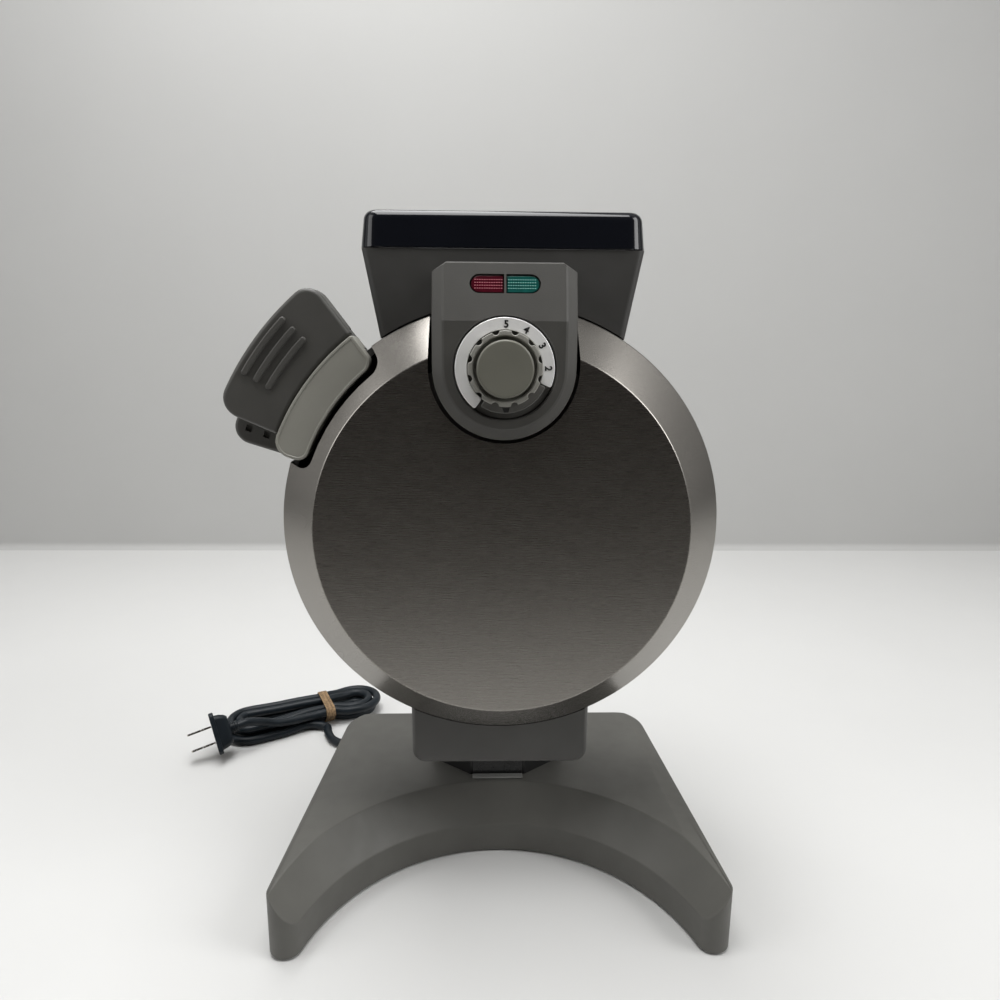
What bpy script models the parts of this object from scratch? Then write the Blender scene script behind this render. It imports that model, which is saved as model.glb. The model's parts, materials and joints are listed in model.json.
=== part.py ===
"""Vertical waffle maker: an upright drum of two heated halves on a horseshoe base.

The front half is a door that folds down on a pin under the drum. Units are metres, +Z is up, +X is to the
right of someone who faces the front, and the front faces -Y. The origin is on the floor, in the middle of
the base's bridge.
"""
import math

import bmesh
import bpy
from mathutils import Matrix, Vector

# Shared clearances and counts
GAP = 0.0003
RUNNING_GAP = 0.001
OVERRUN = 0.004
ROUND_STEPS = 48
PLATE_STEPS = 32
SMALL_STEPS = 14
POST_STEPS = 12
HOLE_STEPS = 10
FLUTE_STEPS = 6
SPAN_STEPS = 6
SMOOTH_STEPS = 8
DIAL_STEPS = 24
CORNER_STEPS = 4
MERGE = 0.00001
SHARP_DEG = 30
BEVEL_FROM_DEG = 60

# Drum: depths run from the parting plane, forwards for the door and backwards for the rear half
PARTING_Y = -0.050
DISC_HEIGHT = 0.223
DISC_RADIUS = 0.118
HINGE_CLEARANCE = 0.007
HINGE_HEIGHT = DISC_HEIGHT - DISC_RADIUS - HINGE_CLEARANCE
RIM_WIDTH = 0.020
FACE_RADIUS = DISC_RADIUS - RIM_WIDTH
RIM_DEPTH = 0.032
RIM_RISE = 0.0204
FACE_DEPTH = RIM_DEPTH + RIM_RISE
SKIRT_LENGTH = 0.008
SKIRT_DEPTH = RIM_DEPTH - SKIRT_LENGTH
SHEET = 0.001
REAR_WALL = 0.002
PARTING_GAP = 0.0005

# Rings that carry the two halves
RING_WIDTH = 0.015
RING_INNER = DISC_RADIUS - RING_WIDTH
RING_WALL_WIDTH = 0.004
RING_WALL_INNER = DISC_RADIUS - RING_WALL_WIDTH
SKIRT_LAP = 0.006
RING_WALL_DEPTH = SKIRT_DEPTH + SKIRT_LAP
RING_FLANGE = 0.003

# Waffle plates
PLATE_CLEARANCE = 0.0005
PLATE_LIP_OUTER = RING_INNER - PLATE_CLEARANCE
PLATE_LIP_WIDTH = 0.0075
PLATE_LIP_INNER = PLATE_LIP_OUTER - PLATE_LIP_WIDTH
PLATE_LIP_DEPTH = 0.0008
PLATE_SEAT_LAP = 0.003
PLATE_SEAT_RADIUS = RING_INNER + PLATE_SEAT_LAP
PLATE_SEAT_THICKNESS = 0.003
PLATE_SIDE_WALL = 0.002
PLATE_BODY_RADIUS = PLATE_LIP_INNER + PLATE_SIDE_WALL
POCKET_DEPTH = 0.013
POCKET_DRAFT = 0.003
PLATE_FLOOR = 0.004
PLATE_BACK_DEPTH = POCKET_DEPTH + PLATE_FLOOR
PEG_PITCH = 0.0215
PEG_WIDTH = 0.0125
PEG_DRAFT = 0.002
PEG_TOP_WIDTH = PEG_WIDTH - PEG_DRAFT
PEG_DEPTH = 0.0045
PEG_FIELD_MARGIN = 0.007
PEG_FIELD_RADIUS = PLATE_LIP_INNER - PEG_FIELD_MARGIN
POST_RADIUS = 0.004
POST_INSET = 0.013
POST_CIRCLE = PLATE_BODY_RADIUS - POST_INSET
POST_ANGLES = (30, 150, 270)

# Batter inlet through both halves
INLET_HALF_WIDTH = 0.022
INLET_DEPTH = 0.0092
INLET_WALL = 0.0025
INLET_BOTTOM = PEG_FIELD_RADIUS
TONGUE_STEP = 0.0002

# Heating elements and heat shields
ELEMENT_INSET = 0.016
ELEMENT_CIRCLE = POST_CIRCLE - ELEMENT_INSET
ELEMENT_RADIUS = 0.0036
ELEMENT_OPENING_DEG = 16
ELEMENT_POINTS = 28
SHIELD_MARGIN = 0.008
SHIELD_RADIUS = POST_CIRCLE + SHIELD_MARGIN
SHIELD_THICKNESS = 0.0008
SCREW_RADIUS = 0.0014
SCREW_HOLE_RADIUS = 0.0018
SCREW_HEAD_RADIUS = 0.0032
SCREW_HEAD_HEIGHT = 0.0015
SCREW_LENGTH = 0.009
FUSE_SIZE = (0.022, 0.008, 0.006)
FUSE_PLACE = (-0.034, -0.008)

# Rear shell
VENT_COUNT = 5
VENT_PITCH = 0.009
VENT_HALF_LENGTH = 0.024
VENT_HALF_HEIGHT = 0.0016
VENT_CENTRE = -0.045
REAR_SCREW_INSET = 0.014
REAR_SCREW_CIRCLE = FACE_RADIUS - REAR_SCREW_INSET
REAR_SCREW_ANGLES = (45, 135, 225, 315)
REAR_POST_LENGTH = 0.012

# Control housing, on the door
DIAL_INSET = 0.0317
DIAL_RISE = DISC_RADIUS - DIAL_INSET
HOUSING_HALF_WIDTH = 0.03525
FACET_ABOVE_DIAL = 0.0222
FACET_RISE = DIAL_RISE + FACET_ABOVE_DIAL
FACET_LENGTH = 0.0281
HOUSING_TOP_RISE = FACET_RISE + FACET_LENGTH
FACET_TILT_DEG = 16
HOUSING_CORNER_WIDTH = 0.0068
HOUSING_CORNER_HEIGHT = 0.0048
HOUSING_STAND = 0.0106
HOUSING_DEPTH = FACE_DEPTH + HOUSING_STAND
HOUSING_BEVEL = 0.0056
HOUSING_TOP_BEVEL = 0.0012
HOUSING_CORNER_SHARE = 0.15
HOUSING_WALL = 0.0026
HOUSING_SLOT_GAP = 0.0006
HOUSING_BACK_STEP = 0.0035
HOUSING_BACK_RISE = FACET_RISE + HOUSING_BACK_STEP

# Indicator window in the upper facet
WINDOW_DROP = 0.010
WINDOW_RISE_ON_FACET = FACET_LENGTH - WINDOW_DROP
WINDOW_HALF_WIDTH = 0.01695
WINDOW_HALF_HEIGHT = 0.0047
WINDOW_DIVIDER = 0.001
LENS_RECESS = 0.0006
LENS_FLANGE = 0.0009
LENS_FLANGE_THICKNESS = 0.0015
LENS_SEAT = HOUSING_WALL + GAP
LAMP_RADIUS = 0.0024
LAMP_SPREAD = 0.0084
LAMP_LENGTH = 0.0055
BOARD_DROP = 0.012
BOARD_THICKNESS = 0.0016
BOARD_HALF_WIDTH = 0.024
BOARD_HALF_HEIGHT = 0.008
BOARD_POST_RADIUS = 0.0022
BOARD_POST_INSET = 0.0027
BOARD_POST_SPREAD = BOARD_HALF_WIDTH - BOARD_POST_INSET
BEEPER_RADIUS = 0.005
BEEPER_HEIGHT = 0.005
BEEPER_PLACE = 0.012

# Browning knob
KNOB_FLANGE_RADIUS = 0.0240
WELL_CLEARANCE = 0.0008
WELL_RADIUS = KNOB_FLANGE_RADIUS + WELL_CLEARANCE
WELL_DEPTH = 0.004
KNOB_FLANGE_THICKNESS = 0.0009
GRIP_RADIUS = 0.0178
GRIP_HEIGHT = 0.0105
GRIP_FLUTES = 12
FLUTE_RADIUS = 0.0018
FLUTE_OFFSET_DEG = 15
KNOB_RIM_WIDTH = 0.0026
KNOB_RIM_INNER = GRIP_RADIUS - KNOB_RIM_WIDTH
CAP_GROOVE = 0.0016
CAP_RADIUS = KNOB_RIM_INNER - CAP_GROOVE
CAP_SEAT_DEPTH = 0.004
CAP_HEIGHT = 0.0065
CAP_EDGE = 0.0008
TAB_INSET = 0.0027
TAB_RADIUS = KNOB_FLANGE_RADIUS - TAB_INSET
TAB_HEIGHT = 0.0062
TAB_START_DEG = 237
TAB_END_DEG = 336.5
DIAL_RING_CLEARANCE = 0.0004
DIAL_RING_INNER = GRIP_RADIUS + DIAL_RING_CLEARANCE
DIAL_RING_HEIGHT = 0.0031
DIAL_RING_START_DEG = -22
DIAL_RING_END_DEG = 233
SHAFT_RADIUS = 0.003
SHAFT_CLEARANCE = 0.0005
THERMOSTAT_HALF_WIDTH = 0.013
THERMOSTAT_HALF_HEIGHT = 0.011
THERMOSTAT_THICKNESS = 0.012
BUSHING_RADIUS = 0.005
BUSHING_LENGTH = 0.004

# Handle, set at an angle round the drum's axis
HANDLE_MID_DEG = 141.6
BRACKET_SEAT = 0.009
BRACKET_INNER = DISC_RADIUS - BRACKET_SEAT
BRACKET_REACH = 0.0095
BRACKET_OUTER = DISC_RADIUS + BRACKET_REACH
BRACKET_START_DEG = 127
BRACKET_END_DEG = 160.6
BRACKET_DEPTH = 0.040
BRACKET_WEB_INNER = DISC_RADIUS + RUNNING_GAP
BRACKET_WEB_DEPTH = 0.022
BRACKET_CORNERS = (0.0015, 0.009, 0.006, 0.006)
BRACKET_EDGE = 0.0006
NOTCH_GAP = 0.0034
NOTCH_SIDE_DEG = 1.8
NOTCH_CORNER = 0.007
PADDLE_SEAM = 0.0005
PADDLE_REACH = 0.0335
PADDLE_OUTER = BRACKET_OUTER + PADDLE_REACH
PADDLE_START_DEG = 127
PADDLE_END_DEG = 156.5
PADDLE_STEP = 0.002
PADDLE_FRONT_DEPTH = BRACKET_DEPTH - PADDLE_STEP
PADDLE_THICKNESS = 0.014
PADDLE_BACK_DEPTH = PADDLE_FRONT_DEPTH - PADDLE_THICKNESS
PADDLE_WALL = 0.003
PADDLE_CORNERS = (0.010, 0.011, 0.0015, 0.0015)
PADDLE_EDGE = 0.0014
RIB_INSETS = (0.0193, 0.0123, 0.0055)
RIB_HALF_WIDTH = 0.0016
RIB_CORNER = 0.0014
RIB_START_DEG = 135
RIB_END_DEG = 148.3
RIB_HEIGHT = 0.0017
PIVOT_REACH = 0.005
PIVOT_RADIUS = BRACKET_OUTER + PIVOT_REACH
PIVOT_DROP = 0.0095
PIVOT_DEPTH = PADDLE_FRONT_DEPTH - PIVOT_DROP
PIVOT_LUG_REACH = 0.0027
LATCH_PIN_RADIUS = 0.0015
LATCH_PIN_HALF_LENGTH = 0.019
LATCH_BORE_RADIUS = 0.0018
EAR_PLACE = 0.0105
LUG_PLACE = 0.016
EAR_HALF_THICKNESS = 0.0015
COIL_RADIUS = 0.0024
COIL_WIRE_RADIUS = 0.0005
COIL_TURNS = 4
COIL_HALF_LENGTH = 0.007
COIL_POINTS_PER_TURN = 8
HOOK_REACH = 0.0085
HOOK_PLACE = PIVOT_RADIUS + HOOK_REACH
HOOK_THICKNESS = 0.0012
HOOK_HALF_WIDTH = 0.004
HOOK_FOOT = 0.005
HOOK_NOSE = 0.0014
HOOK_NOSE_HEIGHT = 0.0015
STRIKE_CLEARANCE = 0.0004
STRIKE_EDGE = HOOK_PLACE + HOOK_THICKNESS + STRIKE_CLEARANCE
STRIKE_WIDTH = 0.0079
STRIKE_HALF_WIDTH = 0.009
STRIKE_THICKNESS = 0.0012
REAR_HANDLE_STEP = 0.006
REAR_HANDLE_OUTER = PADDLE_OUTER - REAR_HANDLE_STEP
REAR_HANDLE_START_DEG = 129.3
REAR_HANDLE_END_DEG = 162.5
SQUEEZE_GAP = 0.005
REAR_HANDLE_FRONT_DEPTH = PADDLE_BACK_DEPTH - SQUEEZE_GAP
REAR_HANDLE_BACK_DEPTH = -0.014
HOOK_BITE = 0.0058
HOOK_TIP_DEPTH = REAR_HANDLE_FRONT_DEPTH - HOOK_BITE
REAR_HANDLE_WALL = 0.0025
REAR_HANDLE_CORNERS = (0.010, 0.010, 0.0015, 0.0015)
REAR_HANDLE_COVER = 0.0022
HANDLE_SLOT_MARGINS = (0.003, 0.0035)
HANDLE_SLOT_HALF_WIDTH = 0.006
POCKET_INSETS = (0.020, 0.010)
POCKET_ANGLE_DEG = 159.2
POCKET_SIDE = 0.0034
POCKET_INSET = 0.0015

# Neck: hinge cover, bracket, pin and pedestal
COVER_HALF_WIDTH = 0.051
COVER_BELOW_HINGE = 0.0172
COVER_DROP = DISC_HEIGHT - HINGE_HEIGHT + COVER_BELOW_HINGE
COVER_TOP_DROP = FACE_RADIUS
COVER_CORNER = 0.008
COVER_EDGE = 0.002
COVER_WALL = 0.0025
COVER_DEPTH = RIM_DEPTH
COVER_BACK_DEPTH = 0.001
COVER_FLOOR_DEPTH = 0.010
PIN_RADIUS = 0.0025
PIN_HALF_LENGTH = 0.031
PIN_BORE_RADIUS = 0.0028
STRAP_HALF_WIDTH = 0.0165
LUG_CLEARANCE = 0.0045
LUG_INNER_X = STRAP_HALF_WIDTH + LUG_CLEARANCE
LUG_THICKNESS = 0.006
LUG_BOSS_RADIUS = 0.006
LUG_DEPTH = 0.014
LUG_ROOT = 0.006
LUG_ROOT_DROP = DISC_RADIUS - LUG_ROOT
CLIP_RADIUS = 0.0044
CLIP_THICKNESS = 0.0012
STRAP_THICKNESS = 0.0015
STRAP_CLEARANCE = 0.0015
STRAP_Y = COVER_BELOW_HINGE + STRAP_CLEARANCE
STRAP_FOOT = 0.0038
EAR_BOSS_RADIUS = 0.0055
STRAP_TOP = HINGE_HEIGHT + EAR_BOSS_RADIUS
COLUMN_SEAT = 0.013
COLUMN_TOP = DISC_HEIGHT - DISC_RADIUS + COLUMN_SEAT
COLUMN_WALL = 0.003
COLUMN_FRONT_HALF_WIDTH = 0.018
COLUMN_FULL_HALF_WIDTH = 0.045
COLUMN_SHOULDER = 0.021
COLUMN_LENGTH = 0.043

# Base
PLATEAU = 0.040
BAY_RADIUS = 0.112
BAND_WIDTH = 0.017
BAY_TOP_RADIUS = BAY_RADIUS + BAND_WIDTH
BAND_RISE = 0.020
BAND_HEIGHT = PLATEAU - BAND_RISE
BAY_Y = -0.1655
TIP_RADIUS = 0.009
TIP_TURN_DEG = 17.34
TIP_X = (BAY_RADIUS + TIP_RADIUS) * math.cos(math.radians(TIP_TURN_DEG))
BACK_Y = 0.054
CORNER_RADIUS = 0.018
CORNER_INSET = 0.0215
CORNER_X = TIP_X - CORNER_INSET
CHAMFER_INSET = 0.012
CHAMFER_X = TIP_X - CHAMFER_INSET
CHAMFER_SLOPE = 0.2
CHAMFER_TURN_DEG = 2.8
BASE_WALL = 0.0025
BASE_BOTTOM = 0.0012
BASE_PLATE_BOTTOM = 0.0015
BASE_PLATE_THICKNESS = 0.003
FOOT_HEIGHT = 0.0012
FOOT_RADIUS = 0.008
TIP_FOOT_RADIUS = 0.0045
FOOT_INSET = (0.010, 0.020)
BOSS_RADIUS = 0.004
BOSS_INSETS = ((0.0295, 0.048), (0.0175, 0.122))
BASE_SCREW_LENGTH = 0.012
COUNTERBORE_DEPTH = 0.0016
COUNTERBORE_RADIUS = 0.0036
TERMINAL_SIZE = (0.030, 0.014, 0.012)
TERMINAL_PLACE = (-0.030, 0.020)

# Spout
SPOUT_SKIRT = 0.038
SPOUT_BOTTOM_RISE = DISC_RADIUS - SPOUT_SKIRT
SPOUT_STAND = 0.027
SPOUT_TOP_RISE = DISC_RADIUS + SPOUT_STAND
SPOUT_BOTTOM_HALF_WIDTH = 0.060
SPOUT_FLARE = 0.0125
SPOUT_TOP_HALF_WIDTH = SPOUT_BOTTOM_HALF_WIDTH + SPOUT_FLARE
SPOUT_FRONT_DEPTH = 0.029
SPOUT_BACK_DEPTH = -0.045
SPOUT_WALL = 0.0025
SPOUT_EDGE = 0.004
SPOUT_RIM_HEIGHT = 0.0188
SPOUT_RIM_OVERHANG = 0.0008
SPOUT_RIM_WALL = 0.0085
SPOUT_RIM_CORNER = 0.010
SPOUT_RIM_DRAFT = 0.0015
SPOUT_RIM_EDGE = 0.005
SPOUT_RIM_STEPS = 3
CHUTE_WALL = 0.0016
CHUTE_TOP_DROP = 0.0005
CHUTE_CORNER = 0.003
THROAT_INSET = 0.001
THROAT_HALF_WIDTH = INLET_HALF_WIDTH - THROAT_INSET
THROAT_HALF_DEPTH = 0.008
THROAT_CLEARANCE = 0.0015
THROAT_BOTTOM_RISE = DISC_RADIUS + THROAT_CLEARANCE
THROAT_LENGTH = 0.0045
THROAT_RISE = THROAT_BOTTOM_RISE + THROAT_LENGTH

# Power cord
CORD_RADIUS = 0.0033
GLAND_X = -0.055
GLAND_HEIGHT = 0.012
GLAND_FLANGE_RADIUS = 0.0075
GLAND_FLANGE_THICKNESS = 0.002
GLAND_SLEEVE_RADIUS = 0.0050
GLAND_BORE_RADIUS = 0.0053
GLAND_LENGTH = 0.022
GLAND_RIBS = 4
GLAND_STEPS = 10
GLAND_ROOT_RADIUS = 0.0056
GLAND_TIP_RADIUS = 0.0042
GLAND_GROOVE = 0.0008
GLAND_GROOVE_SHARE = 0.2
CORD_CLEARANCE = 0.0007
ROUTE_PIECES = 2
GAP_PIECES = 4
GAP_APART = 8
LEAD_ROUTE = [(-0.0565, 0.0905, 0.0095), (-0.0640, 0.0975, 0.0060), (-0.0760, 0.0960, 0.0040),
              (-0.0880, 0.0880, 0.0036), (-0.1000, 0.0800, 0.0036), (-0.1120, 0.0735, 0.0036),
              (-0.1235, 0.0725, 0.0036), (-0.1325, 0.0790, 0.0036), (-0.1384, 0.0905, 0.0036),
              (-0.1416, 0.0990, 0.0036)]

# Tied hank: its frame has x along the hank to the right, y away from the viewer and z up
HANK_PLACE = (-0.1467, 0.1240)
HANK_TURN_DEG = 24.6
HANK_LOOPS = 4
HANK_END_POINT = 1
LOOP_PITCH = 0.00735
LAYER_PITCH = 0.0074
LAYER_HEIGHT = 0.0036
WAIST_HALF = 0.00185
LEFT_RUN = 0.0625
LEFT_LOBE = 0.0075
RIGHT_RUN = 0.0255
RIGHT_LOBE = 0.0065
RUN_POINTS = 3
LOBE_POINTS = 6
CLIMB_TURNS = 0.5
TIE_LIFT = 0.0013
TIE_WIDTH = 0.0076
TIE_THICKNESS = 0.0008
TAIL_ROUTE = [(-0.0417, -0.0212, 0.0140), (-0.0555, -0.0222, 0.0185)]

# Power plug
PLUG_PLACE = (-0.2044, 0.0680)
PLUG_HEIGHT = 0.0224
PLUG_TURN_DEG = -63.5
PLUG_PITCH_DEG = 10
PLUG_ROLL_DEG = 28.5
PLUG_BOOT_RADIUS = 0.0050
PLUG_BOOT_LENGTH = 0.006
PLUG_BACK_SIZE = (0.014, 0.022)
PLUG_NECK_SIZE = (0.018, 0.028)
PLUG_BODY_LENGTH = 0.009
PLUG_FLANGE_SIZE = (0.022, 0.033)
PLUG_FLANGE_THICKNESS = 0.0035
PLUG_CORNER = 0.004
BLADE_SPREAD = 0.00635
BLADE_WIDTH = 0.00635
BLADE_THICKNESS = 0.0015
BLADE_LENGTH = 0.018

PART_COLLECTION = "vertical_waffle_maker"
CUTTER_COLLECTION = "cutters"

MATERIALS = {
    "grey_plastic": ((0.115, 0.112, 0.100), 0.55, 0.0),
    "light_grey_plastic": ((0.150, 0.146, 0.130), 0.55, 0.0),
    "dark_grey_plastic": ((0.055, 0.054, 0.050), 0.50, 0.0),
    "black_plastic": ((0.012, 0.012, 0.013), 0.45, 0.0),
    "gloss_black": ((0.006, 0.007, 0.010), 0.08, 0.0),
    "brushed_steel": ((0.45, 0.43, 0.40), 0.30, 1.0),
    "steel": ((0.55, 0.55, 0.54), 0.30, 1.0),
    "cast_aluminium": ((0.10, 0.10, 0.10), 0.45, 0.8),
    "silver": ((0.65, 0.65, 0.64), 0.25, 1.0),
    "rubber": ((0.015, 0.015, 0.015), 0.85, 0.0),
    "red_lens": ((0.30, 0.005, 0.02), 0.15, 0.0),
    "green_lens": ((0.005, 0.12, 0.09), 0.15, 0.0),
    "circuit_board": ((0.02, 0.10, 0.03), 0.50, 0.0),
    "lamp_glass": ((0.60, 0.55, 0.50), 0.10, 0.0),
    "elastic": ((0.52, 0.36, 0.20), 0.75, 0.0),
}


# Frames: each is a matrix from local to world coordinates

def drum_frame():
    """Local x right, y up and z forwards, from the drum's axis at the parting plane."""
    return Matrix.Translation((0, PARTING_Y, DISC_HEIGHT)) @ Matrix.Rotation(math.pi / 2, 4, "X")


def rear_frame():
    """The drum frame mirrored to the back: local z runs backwards, and x to the left."""
    return drum_frame() @ Matrix.Rotation(math.pi, 4, "Y")


def handle_frame():
    """Local x runs out along the handle's middle, y along its width and z forwards."""
    return drum_frame() @ Matrix.Rotation(math.radians(HANDLE_MID_DEG), 4, "Z")


def facet_frame():
    """Local z stands square on the control housing's upper facet, from the facet's lower edge."""
    place = Matrix.Translation((0, FACET_RISE, HOUSING_DEPTH))
    return drum_frame() @ place @ Matrix.Rotation(-math.radians(FACET_TILT_DEG), 4, "X")


def dial_frame():
    """Local z runs forwards along the knob's axis, from the floor of its well."""
    return drum_frame() @ Matrix.Translation((0, DIAL_RISE, HOUSING_DEPTH - WELL_DEPTH))


def plan_frame():
    """Local z is up, from the drum's axis: local y runs backwards from the parting plane."""
    return Matrix.Translation((0, PARTING_Y, DISC_HEIGHT))


def across(place):
    """A frame at a place, whose local z runs along world X."""
    return Matrix.Translation(place) @ Matrix.Rotation(math.pi / 2, 4, "Y")


# Scene helpers

def clear_scene():
    for item in list(bpy.data.objects):
        bpy.data.objects.remove(item, do_unlink=True)
    for group in list(bpy.data.collections):
        bpy.data.collections.remove(group)


def collection(name):
    group = bpy.data.collections.get(name)
    if group is None:
        group = bpy.data.collections.new(name)
        bpy.context.scene.collection.children.link(group)
    return group


def material(name):
    found = bpy.data.materials.get(name)
    if found:
        return found
    colour, roughness, metallic = MATERIALS[name]
    made = bpy.data.materials.new(name)
    made.use_nodes = True
    shader = made.node_tree.nodes["Principled BSDF"]
    shader.inputs["Base Color"].default_value = (*colour, 1)
    shader.inputs["Roughness"].default_value = roughness
    shader.inputs["Metallic"].default_value = metallic
    return made


def add_object(name, data, frame):
    item = bpy.data.objects.new(name, data)
    item.matrix_world = frame
    collection(PART_COLLECTION).objects.link(item)
    return item


def mesh_object(name, shape, frame):
    """A new object from a bmesh, which is freed."""
    mesh = bpy.data.meshes.new(name)
    shape.to_mesh(mesh)
    shape.free()
    return add_object(name, mesh, frame)


def curve_to_mesh(item):
    """Swap a curve object for a mesh with its caps welded, at the same place."""
    bpy.context.view_layer.update()
    evaluated = item.evaluated_get(bpy.context.evaluated_depsgraph_get())
    mesh = bpy.data.meshes.new_from_object(evaluated)
    shape = bmesh.new()
    shape.from_mesh(mesh)
    bmesh.ops.remove_doubles(shape, verts=shape.verts, dist=MERGE)
    bmesh.ops.recalc_face_normals(shape, faces=shape.faces)
    shape.to_mesh(mesh)
    shape.free()
    name, frame = item.name, item.matrix_world.copy()
    bpy.data.objects.remove(item, do_unlink=True)
    return add_object(name, mesh, frame)


def finish(item, material_name, parent=None):
    """Give a sub-part its material, smooth its round faces and hang it on its pivot."""
    item.data.materials.clear()
    item.data.materials.append(material(material_name))
    item.data.shade_smooth()
    item.data.set_sharp_from_angle(angle=math.radians(SHARP_DEG))
    if parent is not None:
        item.parent = parent
        item.matrix_parent_inverse = parent.matrix_world.inverted()
    return item


def pivot(name, frame, parent=None):
    item = add_object(name, None, frame)
    item.empty_display_size = DISC_RADIUS
    bpy.context.view_layer.update()
    if parent is not None:
        item.parent = parent
        item.matrix_parent_inverse = parent.matrix_world.inverted()
        bpy.context.view_layer.update()
    return item


def combine(item, other, operation):
    """Cut or join another shape, which stays in the scene as a hidden guide."""
    modifier = item.modifiers.new(other.name, "BOOLEAN")
    modifier.operation = operation
    modifier.object = other
    modifier.solver = "EXACT"
    for group in list(other.users_collection):
        group.objects.unlink(other)
    collection(CUTTER_COLLECTION).objects.link(other)
    other.hide_render = True
    other.display_type = "WIRE"
    return item


def cut(item, *others):
    for other in others:
        combine(item, other, "DIFFERENCE")
    return item


def join(item, *others):
    for other in others:
        combine(item, other, "UNION")
    return item


def round_edges(item, width):
    modifier = item.modifiers.new("round_edges", "BEVEL")
    modifier.width = width
    modifier.segments = 1
    modifier.limit_method = "ANGLE"
    modifier.angle_limit = math.radians(BEVEL_FROM_DEG)
    return item


# Shapes

def box(name, low, high, frame):
    """A box between two corners."""
    shape = bmesh.new()
    bmesh.ops.create_cube(shape, size=1)
    size = [b - a for a, b in zip(low, high)]
    middle = [(a + b) / 2 for a, b in zip(low, high)]
    bmesh.ops.scale(shape, vec=size, verts=shape.verts)
    bmesh.ops.translate(shape, vec=middle, verts=shape.verts)
    return mesh_object(name, shape, frame)


def cylinders(name, places, frame, steps=SMALL_STEPS):
    """Round bars along local z in one object: each place is x, y, low, high and radius."""
    shape = bmesh.new()
    for x, y, low, high, radius in places:
        spot = Matrix.Translation((x, y, (low + high) / 2))
        bmesh.ops.create_cone(shape, cap_ends=True, segments=steps, radius1=radius, radius2=radius,
                              depth=high - low, matrix=spot)
    return mesh_object(name, shape, frame)


def cone(name, low, high, low_radius, high_radius, frame, steps=ROUND_STEPS):
    shape = bmesh.new()
    spot = Matrix.Translation((0, 0, (low + high) / 2))
    bmesh.ops.create_cone(shape, cap_ends=True, segments=steps, radius1=low_radius, radius2=high_radius,
                          depth=high - low, matrix=spot)
    return mesh_object(name, shape, frame)


def turned(name, profile, frame, closed=False, steps=ROUND_STEPS):
    """Turn a profile of radius and height about local z; it runs down its outer side."""
    mesh = bpy.data.meshes.new(name)
    edges = [(i, i + 1) for i in range(len(profile) - 1)]
    if closed:
        edges.append((len(profile) - 1, 0))
    mesh.from_pydata([(radius, 0, height) for radius, height in profile], edges, [])
    item = add_object(name, mesh, frame)
    screw = item.modifiers.new("turn", "SCREW")
    screw.axis = "Z"
    screw.steps = steps
    screw.render_steps = steps
    screw.use_merge_vertices = True
    screw.merge_threshold = MERGE
    return item


def flat(name, outlines, low, high, frame):
    """Flat outlines, with any holes as further outlines, between two heights along local z."""
    curve = bpy.data.curves.new(name, "CURVE")
    curve.dimensions = "2D"
    curve.fill_mode = "BOTH"
    curve.extrude = (high - low) / 2
    for outline in outlines:
        spline = curve.splines.new("POLY")
        spline.points.add(len(outline) - 1)
        for point, (x, y) in zip(spline.points, outline):
            point.co = (x, y, 0, 1)
        spline.use_cyclic_u = True
    item = add_object(name, curve, frame @ Matrix.Translation((0, 0, (low + high) / 2)))
    return curve_to_mesh(item)


def tube(name, points, radius, frame, resolution=2):
    """A round bar along a list of points."""
    curve = bpy.data.curves.new(name, "CURVE")
    curve.dimensions = "3D"
    curve.bevel_depth = radius
    curve.bevel_resolution = resolution
    curve.use_fill_caps = True
    spline = curve.splines.new("POLY")
    spline.points.add(len(points) - 1)
    for point, place in zip(spline.points, points):
        point.co = (*place, 1)
    return curve_to_mesh(add_object(name, curve, frame))


def loft(name, rings, frame):
    """A closed solid through rings that all have the same number of points."""
    shape = bmesh.new()
    levels = [[shape.verts.new(place) for place in ring] for ring in rings]
    for below, above in zip(levels, levels[1:]):
        for i in range(len(below)):
            following = (i + 1) % len(below)
            shape.faces.new((below[i], below[following], above[following], above[i]))
    shape.faces.new(levels[0][::-1])
    shape.faces.new(levels[-1])
    return mesh_object(name, shape, frame)


# Outlines

def arc(x, y, radius, start_deg, end_deg, steps=ROUND_STEPS):
    """Points along an arc, both ends included."""
    angles = [math.radians(start_deg + (end_deg - start_deg) * i / steps) for i in range(steps + 1)]
    return [(x + radius * math.cos(a), y + radius * math.sin(a)) for a in angles]


def rounded_box(low_x, high_x, low_y, high_y, radius, steps=CORNER_STEPS):
    """An anticlockwise rectangle with round corners."""
    return (arc(high_x - radius, low_y + radius, radius, -90, 0, steps)
            + arc(high_x - radius, high_y - radius, radius, 0, 90, steps)
            + arc(low_x + radius, high_y - radius, radius, 90, 180, steps)
            + arc(low_x + radius, low_y + radius, radius, 180, 270, steps))


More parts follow.
